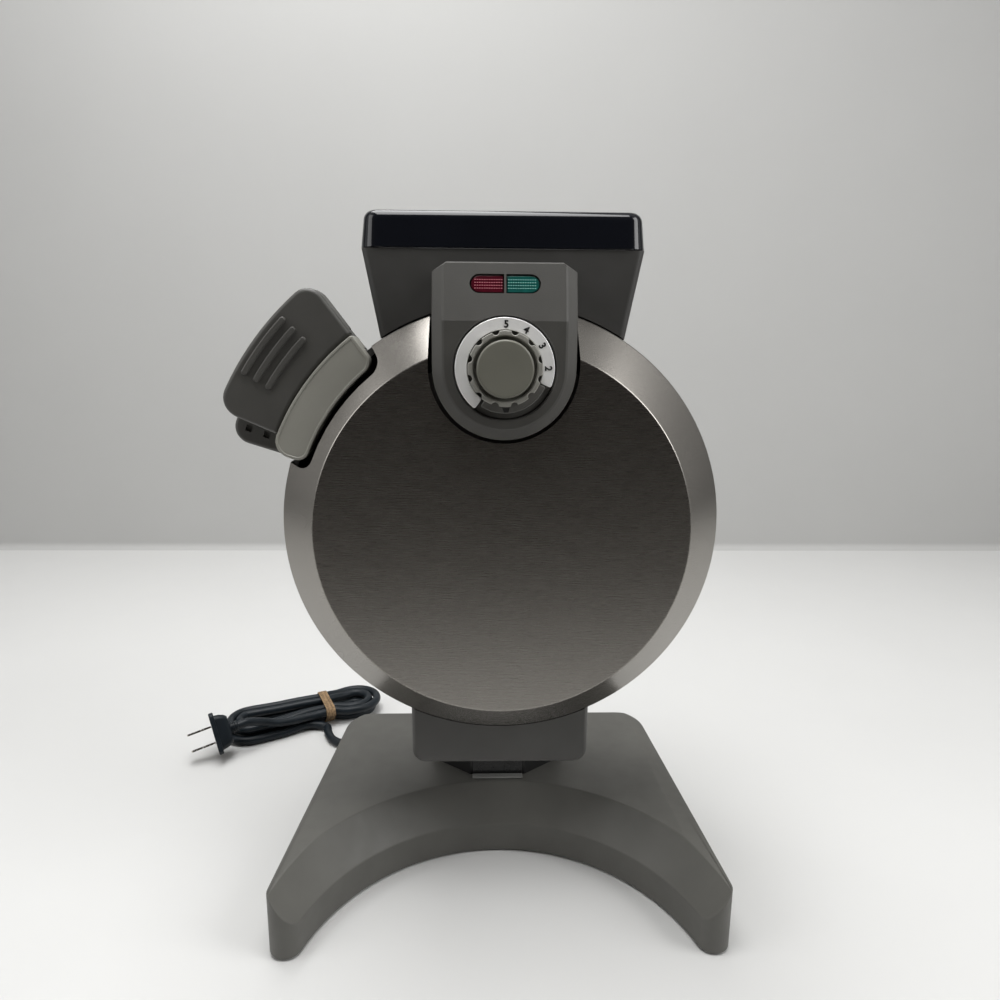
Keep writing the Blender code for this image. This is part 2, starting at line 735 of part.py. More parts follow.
def sector(inner, outer, start_deg, end_deg, corners, inset=0, steps=SPAN_STEPS):
    """A ring sector with round corners, given from the outer start corner round anticlockwise."""
    outer_start, outer_end, inner_end, inner_start = [max(c - inset, MERGE * 10) for c in corners]
    inner += inset
    outer -= inset
    start = math.radians(start_deg)
    end = math.radians(end_deg)
    places = []

    def corner(radius, angle, size, from_deg, side, reach):
        for i in range(CORNER_STEPS + 1):
            turn = math.radians(from_deg + 90 * i / CORNER_STEPS)
            places.append((radius + side * size + size * math.cos(turn),
                           angle + reach * (size + inset) / radius + size / radius * math.sin(turn)))

    def along(radius, low, high):
        places.extend((radius, low + (high - low) * i / steps) for i in range(1, steps))

    along(outer, start + (outer_start + inset) / outer, end - (outer_end + inset) / outer)
    corner(outer, end, outer_end, 0, -1, -1)
    corner(inner, end, inner_end, 90, 1, -1)
    along(inner, end - (inner_end + inset) / inner, start + (inner_start + inset) / inner)
    corner(inner, start, inner_start, 180, 1, 1)
    corner(outer, start, outer_start, 270, -1, 1)
    return [(radius * math.cos(angle), radius * math.sin(angle)) for radius, angle in places]


def pill(low_x, high_x, half_height, round_low, round_high, y=0):
    """A bar along x, whose ends are round or square."""
    points = []
    if round_high:
        points += arc(high_x - half_height, y, half_height, -90, 90, CORNER_STEPS * 2)
    else:
        points += [(high_x, y - half_height), (high_x, y + half_height)]
    if round_low:
        points += arc(low_x + half_height, y, half_height, 90, 270, CORNER_STEPS * 2)
    else:
        points += [(low_x, y + half_height), (low_x, y - half_height)]
    return points


def housing_outline(inset, fall=None, corner=1.0):
    """The control housing from the front: round at the bottom, with cut top corners."""
    half = HOUSING_HALF_WIDTH - inset
    top = HOUSING_TOP_RISE - (inset if fall is None else fall)
    width = corner * HOUSING_CORNER_WIDTH
    height = corner * HOUSING_CORNER_HEIGHT
    points = arc(0, DIAL_RISE, half, 180, 360, ROUND_STEPS // 4)
    points += [(half, FACET_RISE), (half, top - height), (half - width, top)]
    points += [(width - half, top), (-half, top - height), (-half, FACET_RISE)]
    return points


def mirrored(points):
    """An outline from its right half, which starts and ends on the middle line."""
    left = [(-x, y) for x, y in reversed(points) if abs(x) > MERGE]
    return points + left


def tip_y():
    """The leg tips' centre, so that each tip is tangent to the bay."""
    return BAY_Y + (BAY_RADIUS + TIP_RADIUS) * math.sin(math.radians(TIP_TURN_DEG))


def base_outline(inset):
    """The base's plan: round the bay, the leg tip, along the side and the back corner."""
    tip = (TIP_X, tip_y())
    corner = (CORNER_X, BACK_Y - CORNER_RADIUS)
    run = Vector((corner[0] - tip[0], corner[1] - tip[1]))
    along = math.degrees(math.atan2(run.y, run.x))
    normal = along - math.degrees(math.acos((TIP_RADIUS - CORNER_RADIUS) / run.length))
    points = arc(0, BAY_Y, BAY_RADIUS + inset, 90, TIP_TURN_DEG, ROUND_STEPS // 3)
    points += arc(*tip, TIP_RADIUS - inset, TIP_TURN_DEG + 180, 360 + normal, CORNER_STEPS * 2)[1:]
    points += arc(*corner, CORNER_RADIUS - inset, normal, 90, CORNER_STEPS)
    points.append((0, BACK_Y - inset))
    return mirrored(points)


def column_outline(inset):
    """The pedestal's plan from the parting plane: a narrow front, slanted cheeks and a wide back."""
    front = STRAP_Y + STRAP_THICKNESS + GAP
    corners = [(COLUMN_FRONT_HALF_WIDTH, front), (COLUMN_FULL_HALF_WIDTH, front + COLUMN_SHOULDER),
               (COLUMN_FULL_HALF_WIDTH, front + COLUMN_LENGTH)]
    corners += [(-x, y) for x, y in reversed(corners)]
    return drawn_in(corners, inset)


def drawn_in(points, inset):
    """An anticlockwise outline with each straight side moved inwards."""
    sides = []
    for i, (x, y) in enumerate(points):
        run = Vector(points[(i + 1) % len(points)]) - Vector((x, y))
        run.normalize()
        sides.append((Vector((x, y)) + inset * Vector((-run.y, run.x)), run))
    corners = []
    for i, (place, run) in enumerate(sides):
        before_place, before_run = sides[i - 1]
        reach = (place - before_place).cross(run) / before_run.cross(run)
        corners.append(tuple(before_place + reach * before_run))
    return corners


# Drum

def dish_profile(wall):
    """A half's shell: a flat face, a conical rim and a thin skirt over the ring."""
    fall = (FACE_DEPTH - RIM_DEPTH) / (DISC_RADIUS - FACE_RADIUS)
    drop = wall * math.hypot(1, fall)
    inner_face = FACE_DEPTH - wall
    return [(0, FACE_DEPTH), (FACE_RADIUS, FACE_DEPTH), (DISC_RADIUS, RIM_DEPTH), (DISC_RADIUS, SKIRT_DEPTH),
            (DISC_RADIUS - SHEET, SKIRT_DEPTH), (DISC_RADIUS - SHEET, RIM_DEPTH + SHEET * fall - drop),
            (DISC_RADIUS - (inner_face - RIM_DEPTH + drop) / fall, inner_face), (0, inner_face)]


def drum_envelope(name, frame, gap):
    """A solid that keeps the pieces round the drum clear of one half."""
    profile = [(0, FACE_DEPTH + gap), (FACE_RADIUS + gap, FACE_DEPTH + gap),
               (DISC_RADIUS + gap, RIM_DEPTH + gap), (DISC_RADIUS + gap, -PARTING_GAP), (0, -PARTING_GAP)]
    return turned(name, profile, frame)


def ring(name, frame):
    """A housing ring: a flange at the parting plane and a wall that the shell fits over."""
    step = DISC_RADIUS - SHEET - GAP
    shoulder = SKIRT_DEPTH - GAP
    flange = PARTING_GAP + RING_FLANGE
    profile = [(step, RING_WALL_DEPTH), (step, shoulder), (DISC_RADIUS, shoulder), (DISC_RADIUS, PARTING_GAP),
               (RING_INNER, PARTING_GAP), (RING_INNER, flange), (RING_WALL_INNER, flange),
               (RING_WALL_INNER, RING_WALL_DEPTH)]
    item = turned(name, profile, frame, closed=True)
    side = INLET_HALF_WIDTH + INLET_WALL + 2 * GAP
    notch = box(name + "_inlet_notch", (-side, RING_INNER - OVERRUN, -OVERRUN),
                (side, DISC_RADIUS + OVERRUN, INLET_DEPTH + INLET_WALL + 2 * GAP), frame)
    return cut(item, notch)


def waffle_plate(name, frame):
    """A cast grid plate with its seat flange, its half of the batter inlet and its posts."""
    seat = PARTING_GAP + RING_FLANGE + GAP
    seat_back = seat + PLATE_SEAT_THICKNESS
    profile = [(0, PLATE_BACK_DEPTH), (PLATE_BODY_RADIUS, PLATE_BACK_DEPTH), (PLATE_BODY_RADIUS, seat_back),
               (PLATE_SEAT_RADIUS, seat_back), (PLATE_SEAT_RADIUS, seat), (PLATE_LIP_OUTER, seat),
               (PLATE_LIP_OUTER, PLATE_LIP_DEPTH), (PLATE_LIP_INNER, PLATE_LIP_DEPTH),
               (PLATE_LIP_INNER - POCKET_DRAFT, POCKET_DEPTH), (0, POCKET_DEPTH)]
    item = turned(name, profile, frame, steps=PLATE_STEPS)
    side = INLET_HALF_WIDTH + INLET_WALL
    top = DISC_RADIUS - PARTING_GAP
    reach = math.degrees(math.acos(side / top))
    tongue_outline = [(-side, INLET_BOTTOM), (side, INLET_BOTTOM)]
    tongue_outline += arc(0, 0, top, reach, 180 - reach, SMOOTH_STEPS)
    tongue = flat(name + "_tongue", [tongue_outline], PLATE_LIP_DEPTH + TONGUE_STEP, INLET_DEPTH + INLET_WALL,
                  frame)
    channel = box(name + "_channel", (-INLET_HALF_WIDTH, INLET_BOTTOM, -OVERRUN),
                  (INLET_HALF_WIDTH, DISC_RADIUS + OVERRUN, INLET_DEPTH), frame)
    solid = post_places(PLATE_BACK_DEPTH - SHEET, RING_WALL_DEPTH - GAP, POST_RADIUS)
    bored = post_places(RING_WALL_DEPTH - SCREW_LENGTH, RING_WALL_DEPTH + OVERRUN, SCREW_HOLE_RADIUS)
    posts = cylinders(name + "_posts", solid, frame, steps=POST_STEPS)
    holes = cylinders(name + "_holes", bored, frame, steps=HOLE_STEPS)
    join(item, tongue, pegs(name + "_pegs", frame), posts)
    return cut(item, channel, holes)


def places_round(circle, angles, low, high, radius):
    """Bars that stand on a circle at some angles."""
    turns = [math.radians(angle) for angle in angles]
    return [(circle * math.cos(turn), circle * math.sin(turn), low, high, radius) for turn in turns]


def post_places(low, high, radius):
    return places_round(POST_CIRCLE, POST_ANGLES, low, high, radius)


def pegs(name, frame):
    """The grid's square pegs, rooted in the pocket's floor."""
    shape = bmesh.new()
    count = int(PEG_FIELD_RADIUS / PEG_PITCH) + 1
    low = PEG_DEPTH
    high = POCKET_DEPTH + SHEET
    places = [(i + 0.5) * PEG_PITCH for i in range(-count, count)]
    for x in places:
        for y in places:
            if math.hypot(x, y) + PEG_WIDTH / 2 > PEG_FIELD_RADIUS:
                continue
            spot = Matrix.Translation((x, y, (low + high) / 2)) @ Matrix.Rotation(math.pi / 4, 4, "Z")
            bmesh.ops.create_cone(shape, cap_ends=True, segments=4, radius1=PEG_TOP_WIDTH / math.sqrt(2),
                                  radius2=PEG_WIDTH / math.sqrt(2), depth=high - low, matrix=spot)
    return mesh_object(name, shape, frame)


def element(name, frame):
    """A tubular heating element that lies on the plate's back, open at the bottom."""
    depth = PLATE_BACK_DEPTH + GAP + ELEMENT_RADIUS
    ring_points = arc(0, 0, ELEMENT_CIRCLE, ELEMENT_OPENING_DEG / 2 - 90, 270 - ELEMENT_OPENING_DEG / 2,
                      ELEMENT_POINTS)
    return tube(name, [(x, y, depth) for x, y in ring_points], ELEMENT_RADIUS, frame)


def heat_shield(name, frame):
    """A thin disc on the plate's posts, with its screws."""
    top = RING_WALL_DEPTH + SHIELD_THICKNESS
    item = cylinders(name, [(0, 0, RING_WALL_DEPTH, top, SHIELD_RADIUS)], frame, steps=ROUND_STEPS // 2)
    wide = post_places(RING_WALL_DEPTH + SHIELD_THICKNESS / 2, top + SCREW_HEAD_HEIGHT, SCREW_HEAD_RADIUS)
    narrow = post_places(top - SCREW_LENGTH + SHEET, RING_WALL_DEPTH + GAP, SCREW_RADIUS)
    heads = cylinders(name + "_heads", wide, frame, steps=POST_STEPS)
    shafts = cylinders(name + "_shafts", narrow, frame, steps=HOLE_STEPS)
    return join(item, heads, shafts)


def front_shell(frame):
    """The steel dish, open for the control housing and notched for the handle bracket."""
    item = turned("front_shell", dish_profile(SHEET), frame)
    slot = flat("housing_slot", [housing_outline(-HOUSING_SLOT_GAP)], SKIRT_DEPTH - OVERRUN,
                FACE_DEPTH + OVERRUN, frame)
    corners = (SHEET, SHEET, NOTCH_CORNER, NOTCH_CORNER)
    notch_outline = sector(BRACKET_INNER - NOTCH_GAP, DISC_RADIUS + OVERRUN,
                           BRACKET_START_DEG - NOTCH_SIDE_DEG, BRACKET_END_DEG + NOTCH_SIDE_DEG, corners)
    notch = flat("bracket_notch", [notch_outline], SKIRT_DEPTH - OVERRUN, FACE_DEPTH, frame)
    return cut(item, slot, notch)


def front_ring(frame):
    """The door's ring, with two lugs that hang on the hinge pin."""
    item = ring("front_ring", frame)
    drop = HINGE_HEIGHT - DISC_HEIGHT
    for side in (-1, 1):
        low, high = sorted((side * LUG_INNER_X, side * (LUG_INNER_X + LUG_THICKNESS)))
        lug = box("lug", (low, drop, 0), (high, -LUG_ROOT_DROP, LUG_DEPTH), frame)
        boss = cylinders("boss", [(0, 0, low, high, LUG_BOSS_RADIUS)], across(frame @ Vector((0, drop, 0))))
        join(item, lug, boss)
    bore = cylinders("lug_bore", [(0, 0, -PIN_HALF_LENGTH, PIN_HALF_LENGTH, PIN_BORE_RADIUS)],
                     across(frame @ Vector((0, drop, 0))))
    return cut(item, bore)


def rear_shell(frame):
    """The plastic back, with vent slots and posts for its screws."""
    item = turned("rear_shell", dish_profile(REAR_WALL), frame)
    vents = []
    for i in range(VENT_COUNT):
        y = VENT_CENTRE + (i - (VENT_COUNT - 1) / 2) * VENT_PITCH
        outline = pill(-VENT_HALF_LENGTH, VENT_HALF_LENGTH, VENT_HALF_HEIGHT, False, False, y)
        vents.append(flat("vent", [outline], FACE_DEPTH - REAR_WALL - OVERRUN, FACE_DEPTH + OVERRUN, frame))
    inner = FACE_DEPTH - REAR_WALL
    solid = rear_screw_places(inner - REAR_POST_LENGTH, inner + SHEET, POST_RADIUS)
    bored = rear_screw_places(inner - REAR_POST_LENGTH + SHEET, FACE_DEPTH + OVERRUN, SCREW_HOLE_RADIUS)
    posts = cylinders("rear_posts", solid, frame, steps=POST_STEPS)
    holes = cylinders("rear_holes", bored, frame, steps=HOLE_STEPS)
    join(item, posts)
    return cut(item, *vents, holes)


def rear_screw_places(low, high, radius):
    return places_round(REAR_SCREW_CIRCLE, REAR_SCREW_ANGLES, low, high, radius)


def rear_screws(frame):
    """One screw for each of the rear shell's posts."""
    seat = FACE_DEPTH + GAP
    heads = rear_screw_places(seat, seat + SCREW_HEAD_HEIGHT, SCREW_HEAD_RADIUS)
    shafts = rear_screw_places(seat - SCREW_LENGTH, seat + SHEET, SCREW_RADIUS)
    return [join(cylinders(f"rear_screw_{i + 1}", [head], frame, steps=POST_STEPS),
                 cylinders(f"rear_screw_shaft_{i + 1}", [shaft], frame, steps=HOLE_STEPS))
            for i, (head, shaft) in enumerate(zip(heads, shafts))]


def thermal_fuse(frame):
    """A fuse that lies on the rear plate's back, inside the element's ring."""
    corner = Vector((*FUSE_PLACE, PLATE_BACK_DEPTH + GAP))
    return box("thermal_fuse", corner, corner + Vector(FUSE_SIZE), frame)


# Control housing and what it holds

def facet_depth(y):
    """Depth of the housing's front at a height: the upper facet leans back."""
    return HOUSING_DEPTH - max(0, y - FACET_RISE) * math.tan(math.radians(FACET_TILT_DEG))


def housing_block(name, frame, back, wall):
    """The housing's solid, or with a wall thickness its cavity; the cap is creased at the upper facet."""
    edge = HOUSING_BEVEL + (math.sqrt(2) - 1) * wall
    low = housing_outline(wall)
    high = housing_outline(edge, wall + HOUSING_TOP_BEVEL, HOUSING_CORNER_SHARE)
    rings = [[(x, y, back) for x, y in low],
             [(x, y, facet_depth(y) - edge) for x, y in low],
             [(x, y, facet_depth(y) - wall) for x, y in high]]
    item = loft(name, rings, frame)
    shape = bmesh.new()
    shape.from_mesh(item.data)
    shape.verts.ensure_lookup_table()
    crease = [shape.verts[2 * len(high) + i] for i, (x, y) in enumerate(high) if abs(y - FACET_RISE) < MERGE]
    bmesh.ops.connect_verts(shape, verts=crease)
    shape.to_mesh(item.data)
    shape.free()
    return item


def control_housing(frame):
    """The hollow housing with the knob's well, the lamp window and two posts for the board."""
    back = housing_back()
    item = housing_block("control_housing", frame, back, 0)
    cavity = housing_block("housing_cavity", frame, back - OVERRUN, HOUSING_WALL)
    cup = cylinders("well_cup", [(0, 0, -HOUSING_WALL, WELL_DEPTH, WELL_RADIUS + HOUSING_WALL)], dial_frame(),
                    steps=ROUND_STEPS // 2)
    back_wall = box("housing_back_wall", (-HOUSING_HALF_WIDTH, HOUSING_BACK_RISE, back - 2 * OVERRUN),
                    (HOUSING_HALF_WIDTH, HOUSING_TOP_RISE, back + HOUSING_WALL), frame)
    cut(cavity, cup, back_wall)
    well = cylinders("knob_well", [(0, 0, 0, WELL_DEPTH + OVERRUN, WELL_RADIUS)], dial_frame(),
                     steps=ROUND_STEPS // 2)
    bore = cylinders("shaft_bore", [(0, 0, -OVERRUN, OVERRUN, SHAFT_RADIUS + SHAFT_CLEARANCE)], dial_frame())
    half = WINDOW_HALF_HEIGHT
    bar = WINDOW_DIVIDER / 2
    sides = [pill(-WINDOW_HALF_WIDTH, -bar, half, True, False, WINDOW_RISE_ON_FACET),
             pill(bar, WINDOW_HALF_WIDTH, half, False, True, WINDOW_RISE_ON_FACET)]
    window = flat("lamp_window", sides, -LENS_SEAT - OVERRUN, OVERRUN, facet_frame())
    posts = cylinders("board_posts", [(side * BOARD_POST_SPREAD, WINDOW_RISE_ON_FACET, GAP - BOARD_DROP,
                                       -HOUSING_WALL / 2, BOARD_POST_RADIUS) for side in (-1, 1)],
                      facet_frame(), steps=POST_STEPS)
    cut(item, cavity)
    join(item, posts)
    return cut(item, well, bore, window)


def housing_back():
    """The depth of the housing's back, on the front heat shield."""
    return RING_WALL_DEPTH + SHIELD_THICKNESS + GAP


def lens(name, side):
    """Half of the pill-shaped window, with a flange that seats behind the facet."""
    low, high = sorted((side * (WINDOW_DIVIDER / 2 + GAP), side * (WINDOW_HALF_WIDTH - GAP)))
    face = pill(low, high, WINDOW_HALF_HEIGHT - GAP, side < 0, side > 0, WINDOW_RISE_ON_FACET)
    low, high = sorted((side * GAP, side * (WINDOW_HALF_WIDTH + LENS_FLANGE)))
    flange = pill(low, high, WINDOW_HALF_HEIGHT + LENS_FLANGE, side < 0, side > 0, WINDOW_RISE_ON_FACET)
    item = flat(name, [face], -LENS_SEAT - LENS_FLANGE_THICKNESS / 2, -LENS_RECESS, facet_frame())
    seat = flat(name + "_flange", [flange], -LENS_SEAT - LENS_FLANGE_THICKNESS, -LENS_SEAT, facet_frame())
    return join(item, seat)


def indicator_lamps():
    low = GAP - BOARD_DROP
    places = [(side * LAMP_SPREAD, WINDOW_RISE_ON_FACET, low, low + LAMP_LENGTH, LAMP_RADIUS)
              for side in (-1, 1)]
    return [cylinders(f"indicator_lamp_{i + 1}", [place], facet_frame(), steps=POST_STEPS)
            for i, place in enumerate(places)]


def lamp_board():
    low = WINDOW_RISE_ON_FACET - BOARD_HALF_HEIGHT
    return box("lamp_board", (-BOARD_HALF_WIDTH, low, -BOARD_DROP - BOARD_THICKNESS),
               (BOARD_HALF_WIDTH, low + 2 * BOARD_HALF_HEIGHT, -BOARD_DROP), facet_frame())


def beeper():
    high = -BOARD_DROP - BOARD_THICKNESS - GAP
    place = (BEEPER_PLACE, WINDOW_RISE_ON_FACET, high - BEEPER_HEIGHT, high, BEEPER_RADIUS)
    return cylinders("beeper", [place], facet_frame())


def thermostat(frame):
    """The thermostat on the front heat shield, with a bushing round its shaft."""
    low = housing_back()
    high = low + THERMOSTAT_THICKNESS
    item = box("thermostat", (-THERMOSTAT_HALF_WIDTH, DIAL_RISE - THERMOSTAT_HALF_HEIGHT, low),
               (THERMOSTAT_HALF_WIDTH, DIAL_RISE + THERMOSTAT_HALF_HEIGHT, high), frame)
    sleeve = (0, DIAL_RISE, high - SHEET, high + BUSHING_LENGTH, BUSHING_RADIUS)
    bushing = cylinders("bushing", [sleeve], frame)
    bore = cylinders("bushing_bore", [(0, DIAL_RISE, high, high + 2 * BUSHING_LENGTH,
                                       SHAFT_RADIUS + SHAFT_CLEARANCE)], frame)
    join(item, bushing)
    return cut(item, bore)


# Browning knob: heights run forwards from the floor of its well

def browning_knob():
    """The knob with its flange, its fluted grip and its finger tab."""
    flange_top = GAP + KNOB_FLANGE_THICKNESS
    seat = GRIP_HEIGHT - CAP_SEAT_DEPTH
    profile = [(0, seat), (KNOB_RIM_INNER, seat), (KNOB_RIM_INNER, GRIP_HEIGHT),
               (GRIP_RADIUS - CAP_EDGE, GRIP_HEIGHT), (GRIP_RADIUS, GRIP_HEIGHT - CAP_EDGE),
               (GRIP_RADIUS, flange_top), (KNOB_FLANGE_RADIUS, flange_top), (KNOB_FLANGE_RADIUS, GAP),
               (0, GAP)]
    item = turned("browning_knob", profile, dial_frame(), steps=PLATE_STEPS)
    angles = [FLUTE_OFFSET_DEG + 360 * i / GRIP_FLUTES for i in range(GRIP_FLUTES)]
    bars = places_round(GRIP_RADIUS, angles, flange_top + GAP, GRIP_HEIGHT + OVERRUN, FLUTE_RADIUS)
    flutes = cylinders("flutes", bars, dial_frame(), steps=FLUTE_STEPS)
    corners = (SHEET, SHEET, SHEET, SHEET)
    outline = sector(KNOB_RIM_INNER, TAB_RADIUS, TAB_START_DEG, TAB_END_DEG, corners, steps=SMOOTH_STEPS)
    tab = flat("tab", [outline], flange_top - GAP, TAB_HEIGHT, dial_frame())
    cut(item, flutes)
    return join(item, tab)


def dial_ring():
    """The silver number ring on the knob's flange, open where the tab is."""
    low = 2 * GAP + KNOB_FLANGE_THICKNESS
    outline = sector(DIAL_RING_INNER, KNOB_FLANGE_RADIUS, DIAL_RING_START_DEG, DIAL_RING_END_DEG,
                     (GAP, GAP, SHEET, GAP), steps=DIAL_STEPS)
    return flat("dial_ring", [outline], low, low + DIAL_RING_HEIGHT, dial_frame())


def knob_cap():
    low = GRIP_HEIGHT - CAP_SEAT_DEPTH + GAP
    high = low + CAP_HEIGHT
    profile = [(0, high), (CAP_RADIUS - CAP_EDGE, high), (CAP_RADIUS, high - CAP_EDGE), (CAP_RADIUS, low),
               (0, low)]
    return turned("knob_cap", profile, dial_frame(), steps=ROUND_STEPS // 2)


def thermostat_shaft(frame):
    low = housing_back() + THERMOSTAT_THICKNESS + GAP
    high = HOUSING_DEPTH - WELL_DEPTH
    return cylinders("thermostat_shaft", [(0, DIAL_RISE, low, high, SHAFT_RADIUS)], frame)


# Handle and latch

def handle_bracket(frame):
    """The door's handle root, seated on the ring, with two ears for the latch pin."""
    outline = sector(BRACKET_INNER, BRACKET_OUTER, BRACKET_START_DEG, BRACKET_END_DEG, BRACKET_CORNERS)
    item = flat("handle_bracket", [outline], RING_WALL_DEPTH + GAP, BRACKET_DEPTH, frame)
    round_edges(item, BRACKET_EDGE)
    web_outline = sector(BRACKET_WEB_INNER, BRACKET_OUTER, BRACKET_START_DEG, PADDLE_END_DEG,
                         (SHEET, SHEET, SHEET, SHEET), inset=GAP)
    join(item, flat("bracket_web", [web_outline], BRACKET_WEB_DEPTH, BRACKET_DEPTH - 2 * PADDLE_EDGE, frame))
    for side in (-1, 1):
        low, high = sorted(side * EAR_PLACE + offset for offset in (-EAR_HALF_THICKNESS, EAR_HALF_THICKNESS))
        join(item, box("ear", (BRACKET_OUTER - PADDLE_EDGE, low, PIVOT_DEPTH - PIVOT_LUG_REACH),
                       (PIVOT_RADIUS + PIVOT_LUG_REACH, high, PIVOT_DEPTH + PIVOT_LUG_REACH), handle_frame()))
    return cut(item, pivot_bore("bracket_bore"))


def pivot_bar(name, radius, half_length):
    """A bar on the latch pivot's axis."""
    place = Matrix.Translation((PIVOT_RADIUS, 0, PIVOT_DEPTH)) @ Matrix.Rotation(math.pi / 2, 4, "X")
    return cylinders(name, [(0, 0, -half_length, half_length, radius)], handle_frame() @ place,
                     steps=POST_STEPS)


def pivot_bore(name):
    return pivot_bar(name, LATCH_BORE_RADIUS, LATCH_PIN_HALF_LENGTH + SHEET)


def latch_paddle(frame):
    """The ribbed lever: a shell with lugs on the pin, open towards the bracket."""
    inner = BRACKET_OUTER + PADDLE_SEAM
    span = (PADDLE_START_DEG, PADDLE_END_DEG)
    item = flat("latch_paddle", [sector(inner, PADDLE_OUTER, *span, PADDLE_CORNERS)], PADDLE_BACK_DEPTH,
                PADDLE_FRONT_DEPTH, frame)
    round_edges(item, PADDLE_EDGE)
    ceiling = PADDLE_FRONT_DEPTH - PADDLE_WALL
    cavity = flat("paddle_cavity", [sector(inner, PADDLE_OUTER, *span, PADDLE_CORNERS, inset=PADDLE_WALL)],
                  PADDLE_BACK_DEPTH - OVERRUN, ceiling, frame)
    side = NOTCH_SIDE_DEG
    mouth_corners = (SHEET, SHEET, SHEET, SHEET)
    mouth = flat("paddle_mouth", [sector(inner - OVERRUN, inner + PADDLE_WALL + SHEET / 2, span[0] - side,
                                         span[1] + side, mouth_corners)],
                 PADDLE_BACK_DEPTH - OVERRUN, PIVOT_DEPTH + PIVOT_LUG_REACH + GAP, frame)
    cut(item, cavity, mouth)
    for inset in RIB_INSETS:
        radius = PADDLE_OUTER - inset
        rib = sector(radius - RIB_HALF_WIDTH, radius + RIB_HALF_WIDTH, RIB_START_DEG, RIB_END_DEG,
                     (RIB_CORNER,) * 4)
        join(item, flat("rib", [rib], ceiling + PADDLE_WALL / 2, PADDLE_FRONT_DEPTH + RIB_HEIGHT, frame))
    for side in (-1, 1):
        low, high = sorted(side * LUG_PLACE + offset for offset in (-EAR_HALF_THICKNESS, EAR_HALF_THICKNESS))
        join(item, box("paddle_lug", (PIVOT_RADIUS - PIVOT_LUG_REACH, low, PIVOT_DEPTH - PIVOT_LUG_REACH),
                       (PIVOT_RADIUS + PIVOT_LUG_REACH, high, ceiling + PADDLE_WALL / 2), handle_frame()))
    return cut(item, pivot_bore("paddle_bore"))


def latch_pin():
    return pivot_bar("latch_pin", LATCH_PIN_RADIUS, LATCH_PIN_HALF_LENGTH)


def latch_spring():
    """The torsion spring's coil round the latch pin."""
    points = []
    steps = COIL_TURNS * COIL_POINTS_PER_TURN
    for i in range(steps + 1):
        turn = 2 * math.pi * i / COIL_POINTS_PER_TURN
        points.append((PIVOT_RADIUS + COIL_RADIUS * math.cos(turn), COIL_HALF_LENGTH * (2 * i / steps - 1),
                       PIVOT_DEPTH + COIL_RADIUS * math.sin(turn)))
    return tube("latch_spring", points, COIL_WIRE_RADIUS, handle_frame(), resolution=1)


def latch_hook():
    """The steel hook under the paddle: a foot on its ceiling, a shank and a nose."""
    top = PADDLE_FRONT_DEPTH - PADDLE_WALL - GAP
    outer = HOOK_PLACE + HOOK_THICKNESS
    item = box("latch_hook", (HOOK_PLACE, -HOOK_HALF_WIDTH, HOOK_TIP_DEPTH), (outer, HOOK_HALF_WIDTH, top),
               handle_frame())
    foot = box("hook_foot", (HOOK_PLACE - HOOK_FOOT, -HOOK_HALF_WIDTH, top - HOOK_THICKNESS),
               (HOOK_PLACE + HOOK_THICKNESS / 2, HOOK_HALF_WIDTH, top), handle_frame())
    nose = box("hook_nose", (outer - HOOK_THICKNESS / 2, -HOOK_HALF_WIDTH, HOOK_TIP_DEPTH),
               (outer + HOOK_NOSE, HOOK_HALF_WIDTH, HOOK_TIP_DEPTH + HOOK_NOSE_HEIGHT), handle_frame())
    return join(item, foot, nose)


def rear_handle_outline(inset):
    return sector(DISC_RADIUS + GAP, REAR_HANDLE_OUTER, REAR_HANDLE_START_DEG, REAR_HANDLE_END_DEG,
                  REAR_HANDLE_CORNERS, inset=inset, steps=SMOOTH_STEPS)


def rear_handle(frame):
    """The fixed handle on the rear half: a shell with a slot for the hook and two small pockets."""
    front = REAR_HANDLE_FRONT_DEPTH
    item = flat("rear_handle", [rear_handle_outline(0)], REAR_HANDLE_BACK_DEPTH, front, frame)
    round_edges(item, PADDLE_EDGE)
    cavity = flat("rear_handle_cavity", [rear_handle_outline(REAR_HANDLE_WALL)],
                  REAR_HANDLE_BACK_DEPTH - OVERRUN, front - REAR_HANDLE_WALL, frame)
    relief = cylinders("door_relief", [(0, 0, -PARTING_GAP, front + OVERRUN, DISC_RADIUS + RUNNING_GAP)], frame,
                       steps=ROUND_STEPS)
    inwards, outwards = HANDLE_SLOT_MARGINS
    floor = front - REAR_HANDLE_WALL - SHEET
    slot = box("hook_slot", (HOOK_PLACE - inwards, -HANDLE_SLOT_HALF_WIDTH, floor),
               (HOOK_PLACE + outwards, HANDLE_SLOT_HALF_WIDTH, front + SHEET), handle_frame())
    pocket_frame = frame @ Matrix.Rotation(math.radians(POCKET_ANGLE_DEG), 4, "Z")
    pockets = [box("pocket", (radius, -POCKET_SIDE / 2, front - POCKET_INSET),
                   (radius + POCKET_SIDE, POCKET_SIDE / 2, front + SHEET), pocket_frame)
               for radius in (REAR_HANDLE_OUTER - inset for inset in POCKET_INSETS)]
    return cut(item, cavity, relief, slot, *pockets)


def rear_handle_cover(frame):
    high = REAR_HANDLE_BACK_DEPTH - GAP
    return flat("rear_handle_cover", [rear_handle_outline(0)], high - REAR_HANDLE_COVER, high, frame)


def latch_strike():
    high = REAR_HANDLE_FRONT_DEPTH - REAR_HANDLE_WALL - GAP
    return box("latch_strike", (STRIKE_EDGE, -STRIKE_HALF_WIDTH, high - STRIKE_THICKNESS),
               (STRIKE_EDGE + STRIKE_WIDTH, STRIKE_HALF_WIDTH, high), handle_frame())


# Spout

